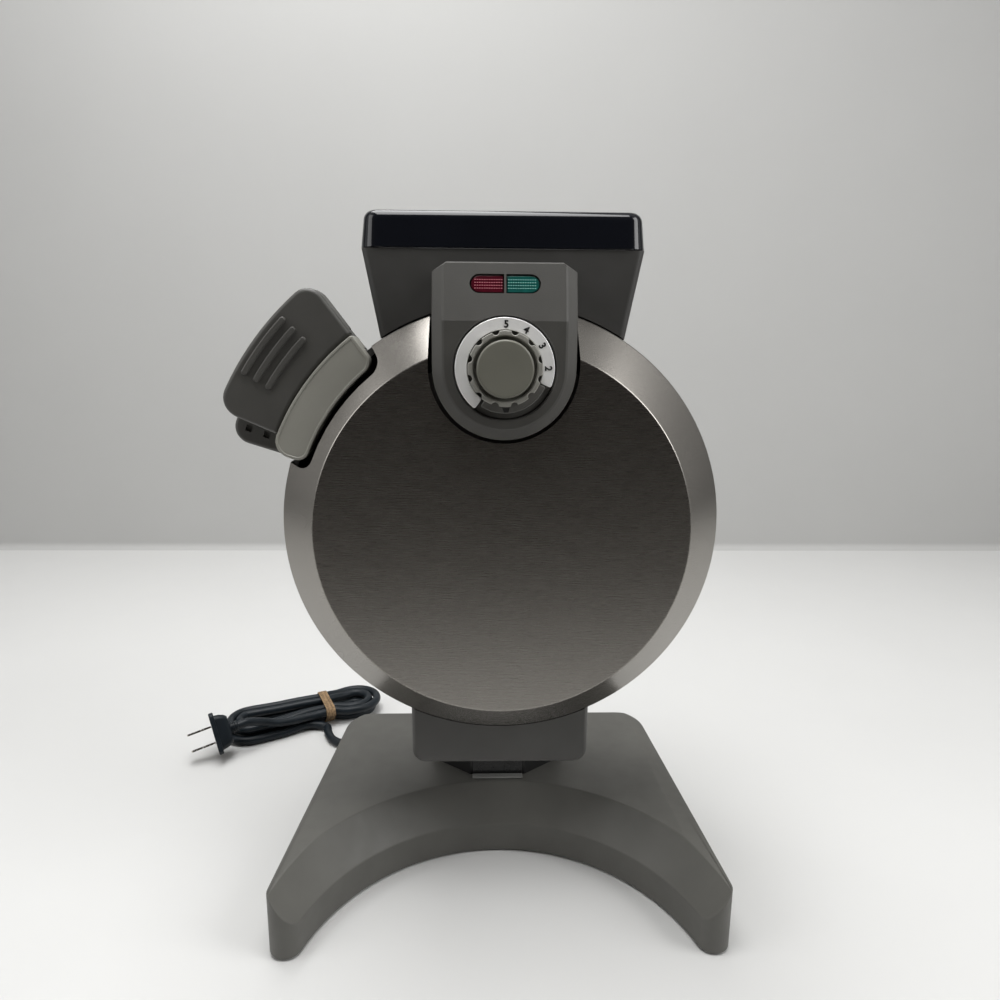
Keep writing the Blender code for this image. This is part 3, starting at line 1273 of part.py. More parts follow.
def spout_ring(inset, rise):
    """The spout's plan at a height; its sides flare upwards."""
    share = (rise - SPOUT_BOTTOM_RISE) / (SPOUT_TOP_RISE - SPOUT_BOTTOM_RISE)
    half = SPOUT_BOTTOM_HALF_WIDTH + share * (SPOUT_TOP_HALF_WIDTH - SPOUT_BOTTOM_HALF_WIDTH) - inset
    outline = rounded_box(-half, half, inset - SPOUT_FRONT_DEPTH, -SPOUT_BACK_DEPTH - inset,
                          max(SPOUT_EDGE - inset, GAP))
    return [(x, y, rise) for x, y in outline]


def spout_housing(frame):
    """The outer wall under the spout's rim, seated on the rear half and clear of the door."""
    item = loft("spout_housing", [spout_ring(0, SPOUT_BOTTOM_RISE), spout_ring(0, SPOUT_TOP_RISE)],
                plan_frame())
    bore = loft("spout_bore", [spout_ring(SPOUT_WALL, SPOUT_BOTTOM_RISE - OVERRUN),
                               spout_ring(SPOUT_WALL, SPOUT_TOP_RISE + OVERRUN)], plan_frame())
    return cut(item, bore, drum_envelope("door_envelope", frame, RUNNING_GAP),
               drum_envelope("rear_envelope", rear_frame(), GAP))


def rim_outline(inset):
    """The rim's plan, drawn in."""
    half = SPOUT_TOP_HALF_WIDTH + SPOUT_RIM_OVERHANG - inset
    front = -SPOUT_FRONT_DEPTH - SPOUT_RIM_OVERHANG + inset
    back = SPOUT_RIM_OVERHANG - SPOUT_BACK_DEPTH - inset
    return rounded_box(-half, half, front, back, SPOUT_RIM_CORNER - inset)


def spout_rim():
    """The glossy frame round the spout's mouth: it leans in a little and has a round top edge."""
    low = SPOUT_TOP_RISE + GAP
    high = low + SPOUT_RIM_HEIGHT
    levels = [(0, low)]
    for i in range(SPOUT_RIM_STEPS + 1):
        turn = math.pi / 2 * i / SPOUT_RIM_STEPS
        levels.append((SPOUT_RIM_DRAFT + SPOUT_RIM_EDGE * (1 - math.cos(turn)),
                       high - SPOUT_RIM_EDGE * (1 - math.sin(turn))))
    item = loft("spout_rim", [[(x, y, rise) for x, y in rim_outline(inset)] for inset, rise in levels],
                plan_frame())
    mouth = flat("spout_mouth", [rim_outline(SPOUT_RIM_WALL)], low - OVERRUN, high + OVERRUN, plan_frame())
    return cut(item, mouth)


def batter_chute():
    """The funnel inside the spout: its top lies against the walls and its throat over the inlet."""
    item = loft("batter_chute", chute_rings(0, 0), plan_frame())
    return cut(item, loft("chute_bore", chute_rings(CHUTE_WALL, OVERRUN), plan_frame()))


def chute_rings(inset, overrun):
    """The funnel's outside, or drawn in and lifted by its wall, its bore."""
    throat = rounded_box(inset - THROAT_HALF_WIDTH, THROAT_HALF_WIDTH - inset, inset - THROAT_HALF_DEPTH,
                         THROAT_HALF_DEPTH - inset, CHUTE_CORNER - inset)
    top = SPOUT_TOP_RISE - CHUTE_TOP_DROP
    wide = [(x, y) for x, y, _ in spout_ring(SPOUT_WALL + GAP + inset, top)]
    levels = [(throat, THROAT_BOTTOM_RISE - overrun), (throat, THROAT_RISE + inset), (wide, top + inset)]
    if overrun:
        levels.append((wide, top + inset + overrun))
    return [[(x, y, rise) for x, y in outline] for outline, rise in levels]


# Neck and hinge

def cover_ring(inset, depth):
    """The neck block from the front, with round lower corners, at a depth."""
    half = COVER_HALF_WIDTH - inset
    radius = COVER_CORNER - inset
    side = COVER_HALF_WIDTH - COVER_CORNER
    height = COVER_CORNER - COVER_DROP
    outline = arc(-side, height, radius, 180, 270, CORNER_STEPS)
    outline += arc(side, height, radius, 270, 360, CORNER_STEPS)
    return [(x, y, depth) for x, y in outline + [(half, -COVER_TOP_DROP), (-half, -COVER_TOP_DROP)]]


def hinge_cover(frame):
    """The neck block on the door: open at the back and over the hinge."""
    item = loft("hinge_cover", [cover_ring(0, COVER_BACK_DEPTH), cover_ring(0, COVER_DEPTH - COVER_EDGE),
                                cover_ring(COVER_EDGE, COVER_DEPTH)], frame)
    inner = COVER_HALF_WIDTH - COVER_WALL
    floor = COVER_WALL - COVER_DROP
    top = OVERRUN - COVER_TOP_DROP
    hollow = [(-inner, floor), (inner, floor), (inner, top), (-inner, top)]
    cavity = flat("cover_cavity", [hollow], COVER_BACK_DEPTH - OVERRUN, COVER_DEPTH - COVER_WALL, frame)
    side = COVER_HALF_WIDTH - COVER_CORNER
    relief = box("cover_relief", (-side, -COVER_DROP - OVERRUN, COVER_BACK_DEPTH - OVERRUN),
                 (side, floor + OVERRUN, COVER_FLOOR_DEPTH), frame)
    drum = cylinders("cover_drum", [(0, 0, -OVERRUN, COVER_DEPTH + OVERRUN, DISC_RADIUS + GAP)], frame,
                     steps=ROUND_STEPS)
    return cut(item, cavity, relief, drum)


def neck_frame():
    """Local y runs backwards from the parting plane, and z is the height above the floor."""
    return Matrix.Translation((0, PARTING_Y, 0))


def hinge_bracket():
    """The bent steel plate on the base, with two ears round the hinge pin."""
    back = STRAP_Y + STRAP_THICKNESS
    low = PLATEAU + GAP
    item = box("hinge_bracket", (-STRAP_HALF_WIDTH, STRAP_Y, low), (STRAP_HALF_WIDTH, back, STRAP_TOP),
               neck_frame())
    foot = box("strap_foot", (-STRAP_HALF_WIDTH, STRAP_Y - STRAP_FOOT, low),
               (STRAP_HALF_WIDTH, back - STRAP_THICKNESS / 2, low + STRAP_THICKNESS), neck_frame())
    join(item, foot)
    centre = Vector((0, PARTING_Y, HINGE_HEIGHT))
    for side in (-1, 1):
        low_x, high_x = sorted((side * (STRAP_HALF_WIDTH - STRAP_THICKNESS), side * STRAP_HALF_WIDTH))
        ear = box("strap_ear", (low_x, 0, HINGE_HEIGHT - EAR_BOSS_RADIUS),
                  (high_x, back - STRAP_THICKNESS / 2, HINGE_HEIGHT + EAR_BOSS_RADIUS), neck_frame())
        boss = cylinders("strap_boss", [(0, 0, low_x, high_x, EAR_BOSS_RADIUS)], across(centre))
        join(item, ear, boss)
    bore = cylinders("strap_bore", [(0, 0, -PIN_HALF_LENGTH, PIN_HALF_LENGTH, PIN_BORE_RADIUS)],
                     across(centre))
    return cut(item, bore)


def hinge_pin():
    return cylinders("hinge_pin", [(0, 0, -PIN_HALF_LENGTH, PIN_HALF_LENGTH, PIN_RADIUS)],
                     across((0, PARTING_Y, HINGE_HEIGHT)))


def hinge_clips():
    """A retaining washer at each end of the hinge pin."""
    start = LUG_INNER_X + LUG_THICKNESS + GAP
    centre = across((0, PARTING_Y, HINGE_HEIGHT))
    clips = []
    for i, side in enumerate((-1, 1)):
        low, high = sorted((side * start, side * (start + CLIP_THICKNESS)))
        item = cylinders(f"hinge_clip_{i + 1}", [(0, 0, low, high, CLIP_RADIUS)], centre)
        bore = cylinders("clip_bore", [(0, 0, low - OVERRUN, high + OVERRUN, PIN_BORE_RADIUS)], centre)
        clips.append(cut(item, bore))
    return clips


def column():
    """The hollow pedestal between the base and the rear half."""
    low = PLATEAU + GAP
    item = flat("column", [column_outline(0)], low, COLUMN_TOP, neck_frame())
    hollow = flat("column_hollow", [column_outline(COLUMN_WALL)], low - OVERRUN, COLUMN_TOP + OVERRUN,
                  neck_frame())
    return cut(item, hollow, drum_envelope("column_seat", rear_frame(), GAP))


# Base

def base_block(name, inset, bottom):
    """The base's solid, or drawn in its cavity: the plan, the bay's slanted band and the side chamfers."""
    item = flat(name, [base_outline(inset)], bottom, PLATEAU - inset, Matrix())
    slope = (BAY_TOP_RADIUS - BAY_RADIUS) / (PLATEAU - BAND_HEIGHT)
    shift = inset * math.hypot(1, slope)
    low = BAND_HEIGHT - OVERRUN
    high = PLATEAU + OVERRUN
    band = cone(name + "_band", low, high, BAY_RADIUS + shift - OVERRUN * slope,
                BAY_TOP_RADIUS + shift + OVERRUN * slope, Matrix.Translation((0, BAY_Y, 0)))
    cut(item, band)
    lean = math.atan(CHAMFER_SLOPE)
    for side in (-1, 1):
        turn = Matrix.Rotation(side * math.radians(CHAMFER_TURN_DEG), 4, "Z")
        frame = (Matrix.Translation((side * CHAMFER_X, 0, PLATEAU)) @ turn
                 @ Matrix.Rotation(side * lean, 4, "Y") @ Matrix.Translation((0, 0, -inset)))
        low_x, high_x = sorted((-side * OVERRUN, side * PLATEAU))
        cut(item, box(name + "_chamfer", (low_x, 2 * BAY_Y, 0), (high_x, 2 * BACK_Y, PLATEAU), frame))
    return item


def both_sides(places):
    return [(side * x, y) for x, y in places for side in (-1, 1)]


def boss_places():
    """The base screws' places, from the leg tips and the back edge."""
    return both_sides([(TIP_X - x, BACK_Y - y) for x, y in BOSS_INSETS])


def base_shell():
    item = base_block("base_shell", 0, BASE_BOTTOM)
    cavity = base_block("base_cavity", BASE_WALL, BASE_BOTTOM - OVERRUN)
    seat = BASE_PLATE_BOTTOM + BASE_PLATE_THICKNESS + GAP
    bosses = cylinders("base_bosses", [(x, y, seat, PLATEAU - BASE_WALL / 2, BOSS_RADIUS)
                                       for x, y in boss_places()], Matrix(), steps=POST_STEPS)
    holes = cylinders("base_holes", [(x, y, seat - OVERRUN, seat + BASE_SCREW_LENGTH, SCREW_HOLE_RADIUS)
                                     for x, y in boss_places()], Matrix(), steps=HOLE_STEPS)
    gland_hole = cylinders("gland_hole", [(0, 0, -BASE_WALL - OVERRUN, OVERRUN, GLAND_BORE_RADIUS)],
                           gland_frame())
    cut(item, cavity)
    join(item, bosses)
    return cut(item, holes, gland_hole)


def base_plate():
    """The floor plate, with its screws in their counterbores."""
    item = flat("base_plate", [base_outline(BASE_WALL + GAP)], BASE_PLATE_BOTTOM,
                BASE_PLATE_BOTTOM + BASE_PLATE_THICKNESS, Matrix())
    places = boss_places()
    floor = BASE_PLATE_BOTTOM + COUNTERBORE_DEPTH
    bores = cylinders("counterbores", [(x, y, BASE_PLATE_BOTTOM - OVERRUN, floor, COUNTERBORE_RADIUS)
                                       for x, y in places], Matrix(), steps=POST_STEPS)
    wide = [(x, y, floor - SCREW_HEAD_HEIGHT, floor + SHEET / 2, SCREW_HEAD_RADIUS) for x, y in places]
    narrow = [(x, y, floor, floor + BASE_SCREW_LENGTH, SCREW_RADIUS) for x, y in places]
    heads = cylinders("base_screw_heads", wide, Matrix(), steps=POST_STEPS)
    shafts = cylinders("base_screw_shafts", narrow, Matrix(), steps=HOLE_STEPS)
    cut(item, bores)
    return join(item, heads, shafts)


def rubber_feet():
    """A foot at each back corner, under each leg tip and under the neck."""
    corner = (CORNER_X - FOOT_INSET[0], BACK_Y - FOOT_INSET[1])
    places = [(x, y, 0, FOOT_HEIGHT, FOOT_RADIUS) for x, y in both_sides([corner])]
    places += [(x, y, 0, FOOT_HEIGHT, TIP_FOOT_RADIUS) for x, y in both_sides([(TIP_X, tip_y())])]
    places.append((0, 0, 0, FOOT_HEIGHT, FOOT_RADIUS))
    return [cylinders(f"rubber_foot_{i + 1}", [place], Matrix()) for i, place in enumerate(places)]


def terminal_block():
    low = BASE_PLATE_BOTTOM + BASE_PLATE_THICKNESS + GAP
    corner = Vector((*TERMINAL_PLACE, low))
    return box("terminal_block", corner, corner + Vector(TERMINAL_SIZE), Matrix())


def gland_frame():
    """Local z runs backwards out of the base's rear wall."""
    return Matrix.Translation((GLAND_X, BACK_Y, GLAND_HEIGHT)) @ Matrix.Rotation(-math.pi / 2, 4, "X")


def cord_gland():
    """The strain relief: a ribbed boot, a flange and a sleeve through the wall."""
    profile = [(0, GLAND_LENGTH), (GLAND_TIP_RADIUS, GLAND_LENGTH)]
    run = GLAND_LENGTH - GLAND_FLANGE_THICKNESS
    for i in range(GLAND_RIBS):
        share = (i + 0.5) / GLAND_RIBS
        radius = GLAND_TIP_RADIUS + (GLAND_ROOT_RADIUS - GLAND_TIP_RADIUS) * share
        height = GLAND_LENGTH - run * share
        width = run / GLAND_RIBS * GLAND_GROOVE_SHARE
        profile += [(radius, height + width), (radius - GLAND_GROOVE, height + width),
                    (radius - GLAND_GROOVE, height - width), (radius, height - width)]
    profile += [(GLAND_ROOT_RADIUS, GLAND_FLANGE_THICKNESS), (GLAND_FLANGE_RADIUS, GLAND_FLANGE_THICKNESS),
                (GLAND_FLANGE_RADIUS, GAP), (GLAND_SLEEVE_RADIUS, GAP),
                (GLAND_SLEEVE_RADIUS, -BASE_WALL - GLAND_FLANGE_THICKNESS),
                (0, -BASE_WALL - GLAND_FLANGE_THICKNESS)]
    return turned("cord_gland", profile, gland_frame(), steps=GLAND_STEPS)


# Cord

def smooth_route(route):
    """Points on a smooth curve through a route's own points, between its two straight ends."""
    places = [Vector(place) for place in route]
    points = [places[0]]
    for before, start, end, after in zip(places, places[1:], places[2:], places[3:]):
        for i in range(ROUTE_PIECES):
            t = i / ROUTE_PIECES
            bend = t ** 2 * (2 * before - 5 * start + 4 * end - after)
            twist = t ** 3 * (3 * start - before - 3 * end + after)
            points.append((2 * start + t * (end - before) + bend + twist) / 2)
    return points + places[-2:]


def hank_frame():
    return (Matrix.Translation((*HANK_PLACE, 0))
            @ Matrix.Rotation(math.radians(HANK_TURN_DEG), 4, "Z"))


def lobe(side, run, half, first):
    """Places and outward directions: out along one side of the waist, round the end and back."""
    def along(reach, bank):
        share = reach / run
        rise = (half - WAIST_HALF) * share ** 2 * (3 - 2 * share)
        slope = 6 * share * (1 - share) * (half - WAIST_HALF) / run
        return Vector((side * reach, bank * (WAIST_HALF + rise))), Vector((-side * slope, bank)).normalized()

    reaches = [run * i / RUN_POINTS for i in range(RUN_POINTS)]
    places = [along(reach, first) for reach in reaches]
    for i in range(LOBE_POINTS):
        angle = math.pi * i / LOBE_POINTS
        outwards = Vector((side * math.sin(angle), first * math.cos(angle)))
        places.append((Vector((side * run, 0)) + half * outwards, outwards))
    return places + [along(run - reach, -first) for reach in reaches]


def hank_route():
    """The hank's loops: they spiral in below, climb along a run, and spiral out above."""
    loop = lobe(-1, LEFT_RUN, LEFT_LOBE, -1) + lobe(1, RIGHT_RUN, RIGHT_LOBE, 1)
    points = []
    for i in range(HANK_END_POINT, HANK_LOOPS * len(loop) + HANK_END_POINT + 1):
        place, outwards = loop[i % len(loop)]
        turns = i / len(loop) - HANK_LOOPS / 2
        spot = place + abs(turns) * LOOP_PITCH * outwards
        climb = min(max(turns / CLIMB_TURNS + 0.5, 0), 1)
        from_waist = min(i % (len(loop) // 2), -i % (len(loop) // 2))
        lift = TIE_LIFT if from_waist < 2 else 0
        points.append(hank_frame() @ Vector((*spot, LAYER_HEIGHT + LAYER_PITCH * climb + lift)))
    return points


def least_gap(points, radius):
    """The least gap between two stretches of one tube that don't follow each other."""
    fine = [a.lerp(b, i / GAP_PIECES) for a, b in zip(points, points[1:]) for i in range(GAP_PIECES)]
    lengths = [0]
    for a, b in zip(fine, fine[1:]):
        lengths.append(lengths[-1] + (b - a).length)
    apart = GAP_APART * radius
    return min((a - b).length for i, a in enumerate(fine) for j, b in enumerate(fine[:i])
               if lengths[i] - lengths[j] > apart) - 2 * radius


def straight_end(place, along):
    """Two points that leave a place, after a gap, and run straight for one diameter."""
    along = along.normalized()
    return [place + GAP * along, place + (GAP + 2 * CORD_RADIUS) * along]


def cord_lead():
    """The cord from the strain relief to the hank."""
    tip = gland_frame() @ Vector((0, 0, GLAND_LENGTH))
    start, following = hank_route()[:2]
    route = straight_end(tip, Vector((0, 1, 0))) + [Vector(place) for place in LEAD_ROUTE]
    return tube("cord_lead", smooth_route(route + straight_end(start, start - following)[::-1]), CORD_RADIUS,
                Matrix())


def cord_hank():
    return tube("cord_hank", hank_route(), CORD_RADIUS, Matrix(), resolution=1)


def cord_tail():
    """The cord's last run, from the top of the hank to the plug."""
    before, end = hank_route()[-2:]
    route = straight_end(end, end - before) + [hank_frame() @ Vector(place) for place in TAIL_ROUTE]
    back = plug_frame().translation
    outwards = plug_frame() @ Vector((0, 0, -1)) - back
    return tube("cord_tail", smooth_route(route + straight_end(back, outwards)[::-1]), CORD_RADIUS, Matrix())


def wrapped(corners, radius):
    """An outline round bars of one radius that stand at some corners, given anticlockwise."""
    points = []
    for i, corner in enumerate(corners):
        arriving = Vector(corner) - Vector(corners[i - 1])
        leaving = Vector(corners[(i + 1) % len(corners)]) - Vector(corner)
        start = math.degrees(math.atan2(arriving.y, arriving.x)) - 90
        turn = math.degrees(arriving.angle_signed(leaving) * -1) % 360
        points += arc(*corner, radius, start, start + turn, CORNER_STEPS)
    return points


def cord_tie():
    """The elastic band round the hank's waist."""
    low = LAYER_HEIGHT + TIE_LIFT
    high = low + LAYER_PITCH
    near = -WAIST_HALF - LOOP_PITCH * HANK_LOOPS / 2
    far = WAIST_HALF + LOOP_PITCH * (HANK_LOOPS / 2 - 0.5)
    corners = [(near + LOOP_PITCH, low), (far, low), (far, high), (near, high)]
    around = hank_frame() @ Matrix(((0, 0, 1, 0), (1, 0, 0, 0), (0, 1, 0, 0), (0, 0, 0, 1)))
    inner = CORD_RADIUS + CORD_CLEARANCE
    item = flat("cord_tie", [wrapped(corners, inner + TIE_THICKNESS)], -TIE_WIDTH / 2, TIE_WIDTH / 2, around)
    bore = flat("tie_bore", [wrapped(corners, inner)], -TIE_WIDTH, TIE_WIDTH, around)
    return cut(item, bore)


def plug_frame():
    """Local z runs from the plug's back to its blades; the plug leans forwards and on its side."""
    turn, pitch, roll = [math.radians(angle) for angle in (PLUG_TURN_DEG, PLUG_PITCH_DEG, PLUG_ROLL_DEG)]
    return (Matrix.Translation((*PLUG_PLACE, PLUG_HEIGHT)) @ Matrix.Rotation(turn, 4, "Z")
            @ Matrix.Rotation(math.pi / 2 + pitch, 4, "X") @ Matrix.Rotation(roll, 4, "Z"))


def plug_section(size, corner, height):
    width, tall = size
    return [(x, y, height) for x, y in rounded_box(-width / 2, width / 2, -tall / 2, tall / 2, corner)]


def plug_length():
    return PLUG_BOOT_LENGTH + PLUG_BODY_LENGTH + PLUG_FLANGE_THICKNESS


def power_plug():
    """The moulded plug: a boot, a swelling body and a flange that it stands on."""
    body_top = PLUG_BOOT_LENGTH + PLUG_BODY_LENGTH
    item = loft("power_plug", [plug_section(PLUG_BACK_SIZE, PLUG_CORNER, PLUG_BOOT_LENGTH),
                               plug_section(PLUG_NECK_SIZE, PLUG_CORNER, body_top + SHEET)], plug_frame())
    boot = cylinders("plug_boot", [(0, 0, 0, PLUG_BOOT_LENGTH + SHEET, PLUG_BOOT_RADIUS)], plug_frame())
    flange = loft("plug_flange", [plug_section(PLUG_FLANGE_SIZE, PLUG_CORNER, body_top),
                                  plug_section(PLUG_FLANGE_SIZE, PLUG_CORNER, plug_length())], plug_frame())
    return join(item, boot, flange)


def plug_blades():
    blades = []
    for i, side in enumerate((-1, 1)):
        low = plug_length() + GAP
        y = side * BLADE_SPREAD
        blades.append(box(f"plug_blade_{i + 1}", (-BLADE_WIDTH / 2, y - BLADE_THICKNESS / 2, low),
                          (BLADE_WIDTH / 2, y + BLADE_THICKNESS / 2, low + BLADE_LENGTH), plug_frame()))
    return blades


# Assembly

def build_base():
    finish(base_shell(), "grey_plastic")
    finish(base_plate(), "black_plastic")
    for foot in rubber_feet():
        finish(foot, "rubber")
    finish(terminal_block(), "lamp_glass")
    finish(column(), "black_plastic")
    finish(hinge_bracket(), "steel")
    finish(hinge_pin(), "steel")
    for clip in hinge_clips():
        finish(clip, "steel")


def build_rear_half():
    back = rear_frame()
    finish(ring("rear_ring", back), "black_plastic")
    finish(waffle_plate("rear_plate", back), "cast_aluminium")
    finish(element("rear_element", back), "steel")
    finish(heat_shield("rear_heat_shield", back), "steel")
    finish(thermal_fuse(back), "lamp_glass")
    finish(rear_shell(back), "black_plastic")
    for screw in rear_screws(back):
        finish(screw, "steel")
    finish(rear_handle(drum_frame()), "black_plastic")
    finish(rear_handle_cover(drum_frame()), "black_plastic")
    finish(latch_strike(), "steel")


def build_spout():
    finish(spout_housing(drum_frame()), "black_plastic")
    finish(batter_chute(), "black_plastic")
    finish(spout_rim(), "gloss_black")


def build_cord():
    finish(cord_gland(), "black_plastic")
    finish(cord_lead(), "black_plastic")
    finish(cord_hank(), "black_plastic")
    finish(cord_tail(), "black_plastic")
    finish(cord_tie(), "elastic")
    finish(power_plug(), "black_plastic")
    for blade in plug_blades():
        finish(blade, "silver")
    print("least gap in the hank, mm:", round(least_gap(hank_route(), CORD_RADIUS) * 1000, 2))


def build_door(door):
    front = drum_frame()
    finish(front_ring(front), "grey_plastic", door)
    finish(waffle_plate("front_plate", front), "cast_aluminium", door)
    finish(element("front_element", front), "steel", door)
    finish(heat_shield("front_heat_shield", front), "steel", door)
    finish(front_shell(front), "brushed_steel", door)
    finish(hinge_cover(front), "grey_plastic", door)
    finish(control_housing(front), "dark_grey_plastic", door)
    finish(lens("red_lens", -1), "red_lens", door)
    finish(lens("green_lens", 1), "green_lens", door)
    finish(lamp_board(), "circuit_board", door)
    for lamp in indicator_lamps():
        finish(lamp, "lamp_glass", door)
    finish(beeper(), "black_plastic", door)
    finish(thermostat(front), "steel", door)
    finish(handle_bracket(front), "dark_grey_plastic", door)
    finish(latch_pin(), "steel", door)
    finish(latch_spring(), "steel", door)


def build_dial(dial):
    finish(browning_knob(), "black_plastic", dial)
    finish(dial_ring(), "silver", dial)
    finish(knob_cap(), "dark_grey_plastic", dial)
    finish(thermostat_shaft(drum_frame()), "steel", dial)


def build_latch(latch):
    finish(latch_paddle(drum_frame()), "dark_grey_plastic", latch)
    finish(latch_hook(), "steel", latch)


def main():
    clear_scene()
    door = pivot("door_pivot", Matrix.Translation((0, PARTING_Y, HINGE_HEIGHT)))
    dial = pivot("dial_pivot", dial_frame(), door)
    latch = pivot("latch_pivot", handle_frame() @ Matrix.Translation((PIVOT_RADIUS, 0, PIVOT_DEPTH)), door)
    build_base()
    build_rear_half()
    build_spout()
    build_cord()
    build_door(door)
    build_dial(dial)
    build_latch(latch)


main()
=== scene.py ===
"""Vertical waffle maker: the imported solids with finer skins, materials, light and a camera.

Units are metres in the solids' own frame: +Z is up, +X is to the right of someone who faces the front, and
the front faces -Y.
"""
import json
from math import acos, atan, atan2, cos, degrees, hypot, pi, radians, sin, sqrt, tan

import bmesh
import bpy
from mathutils import Matrix, Vector


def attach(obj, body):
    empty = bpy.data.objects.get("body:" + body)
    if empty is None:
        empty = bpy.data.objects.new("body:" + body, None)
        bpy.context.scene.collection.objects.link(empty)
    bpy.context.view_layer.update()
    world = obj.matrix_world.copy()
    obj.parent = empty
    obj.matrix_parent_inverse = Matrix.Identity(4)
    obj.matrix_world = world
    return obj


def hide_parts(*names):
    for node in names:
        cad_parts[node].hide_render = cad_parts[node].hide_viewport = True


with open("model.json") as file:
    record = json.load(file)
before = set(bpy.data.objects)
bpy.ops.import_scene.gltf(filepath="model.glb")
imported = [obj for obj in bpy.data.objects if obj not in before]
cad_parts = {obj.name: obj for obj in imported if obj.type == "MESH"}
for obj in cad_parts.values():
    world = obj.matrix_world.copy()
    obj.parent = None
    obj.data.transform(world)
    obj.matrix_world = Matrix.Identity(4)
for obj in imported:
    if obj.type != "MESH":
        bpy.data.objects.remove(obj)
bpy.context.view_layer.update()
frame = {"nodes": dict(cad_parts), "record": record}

# Counts
ROUND_STEPS = 160
BAY_STEPS = 53
FINE_STEPS = 40
SECTOR_STEPS = 16
CORNER_STEPS = 8
EDGE_STEPS = 4

# Shared clearances
GAP = 0.0003
RUNNING_GAP = 0.001
OVERRUN = 0.004
MERGE = 0.00001

# Drum: depths run from the parting plane, forwards for the door and backwards for the rear half
PARTING_Y = -0.050
DISC_HEIGHT = 0.223
DISC_RADIUS = 0.118
HINGE_HEIGHT = 0.098
RIM_WIDTH = 0.020
FACE_RADIUS = DISC_RADIUS - RIM_WIDTH
RIM_DEPTH = 0.032
RIM_RISE = 0.0204
FACE_DEPTH = RIM_DEPTH + RIM_RISE
SKIRT_DEPTH = 0.024
SHEET = 0.001
REAR_WALL = 0.002
PARTING_GAP = 0.0005
PARTING_ROUND = 0.0008
FOLD_RADIUS = 0.0016
SHOULDER_RADIUS = 0.002
BACK_FOLD_RADIUS = 0.004

# Rings that carry the two halves, with the batter inlet's notch
RING_INNER = 0.103
RING_WALL_INNER = 0.114
RING_WALL_DEPTH = 0.030
RING_FLANGE = 0.003
INLET_NOTCH_HALF_WIDTH = 0.0251
INLET_NOTCH_DEPTH = 0.0123

# Rear shell: its screws lie on an arc from one angle to another in some steps
VENT_RISES = (-0.063, -0.054, -0.045, -0.036, -0.027)
VENT_HALF_LENGTH = 0.024
VENT_HALF_HEIGHT = 0.0016
REAR_SCREW_CIRCLE = 0.084
REAR_SCREW_ARC = (45, 315, 3)
REAR_POST_LENGTH = 0.012
REAR_POST_RADIUS = 0.004
SCREW_HOLE_RADIUS = 0.0018

# Control housing, on the door
DIAL_RISE = 0.0863
HOUSING_HALF_WIDTH = 0.03525
FACET_RISE = 0.1085
FACET_TILT_DEG = 16
HOUSING_TOP_RISE = 0.1366
HOUSING_CORNER_WIDTH = 0.0068
HOUSING_CORNER_HEIGHT = 0.0048
HOUSING_DEPTH = 0.063
HOUSING_BACK = 0.0311
HOUSING_BEVEL = 0.0056
HOUSING_TOP_BEVEL = 0.0012
HOUSING_CORNER_SHARE = 0.15
HOUSING_EDGE = 0.0006
HOUSING_WALL = 0.0026
HOUSING_BACK_RISE = 0.112
SLOT_GAP = 0.0024

# Indicator window in the upper facet
WINDOW_RISE = 0.0181
WINDOW_HALF_WIDTH = 0.01695
WINDOW_HALF_HEIGHT = 0.0047
WINDOW_DIVIDER = 0.001
LENS_GAP = 0.0006
LENS_EDGE = 0.0004
LENS_RECESS = 0.0006
LENS_FLANGE = 0.0009
LENS_FLANGE_THICKNESS = 0.0015
LENS_SEAT = HOUSING_WALL + GAP
BOARD_DROP = 0.012
BOARD_POST_RADIUS = 0.0022
BOARD_POST_SPREAD = 0.0213
DASH_ROWS = 4
DASH_COUNT = 12
DASH_START = 0.0017
DASH_PITCH = 0.00115
DASH_ROW_PITCH = 0.0014
DASH_HALF_LENGTH = 0.0003
DASH_HALF_WIDTH = 0.00015
DASH_HEIGHT = 0.0002

# Browning knob: heights run from the floor of its well
WELL_RADIUS = 0.0248
WELL_DEPTH = 0.004
WELL_EDGE = 0.0007
FLANGE_RADIUS = 0.0240
FLANGE_TOP = 0.0012
GRIP_RADIUS = 0.0178
GRIP_INNER = 0.0152
GRIP_HEIGHT = 0.0105
GRIP_POINTS = 288
GRIP_EDGE = 0.0006
GRIP_FLUTES = 12
FLUTE_RADIUS = 0.0018
FLUTE_SHARE = 0.9
FLUTE_OFFSET_DEG = 15
CAP_SEAT = 0.0065
CAP_RADIUS = 0.0136
CAP_HEIGHT = 0.0065
CAP_ROUND = 0.0012
CAP_DISH = 0.0003
CAP_DISH_SHARE = 0.6
TAB_RADIUS = 0.0213
TAB_HEIGHT = 0.0062
TAB_SPAN = (237, 336.5)
TAB_EDGE = 0.0005
POINTER_SIZE = (0.0036, 0.0022, 0.0022)
POINTER_DEG = -88
POINTER_RADIUS = 0.0196
POINTER_STAND = 0.00008
DIAL_RING_LOW = 0.0015
DIAL_RING_HIGH = 0.0046
DIAL_RING_INNER = 0.0182
DIAL_RING_SPAN = (-22, 233)
DIAL_RING_STEPS = 64
DIAL_RING_EDGE = 0.0004
DIAL_NUMBERS = (("5", 1.4), ("4", 29), ("3", 58.6), ("2", 89.4))
NUMBER_SIZE = 0.0047
NUMBER_THICKNESS = 0.00015
NUMBER_WEIGHT = 0.00014
NUMBER_RADIUS = 0.0207
SHAFT_BORE_RADIUS = 0.0035

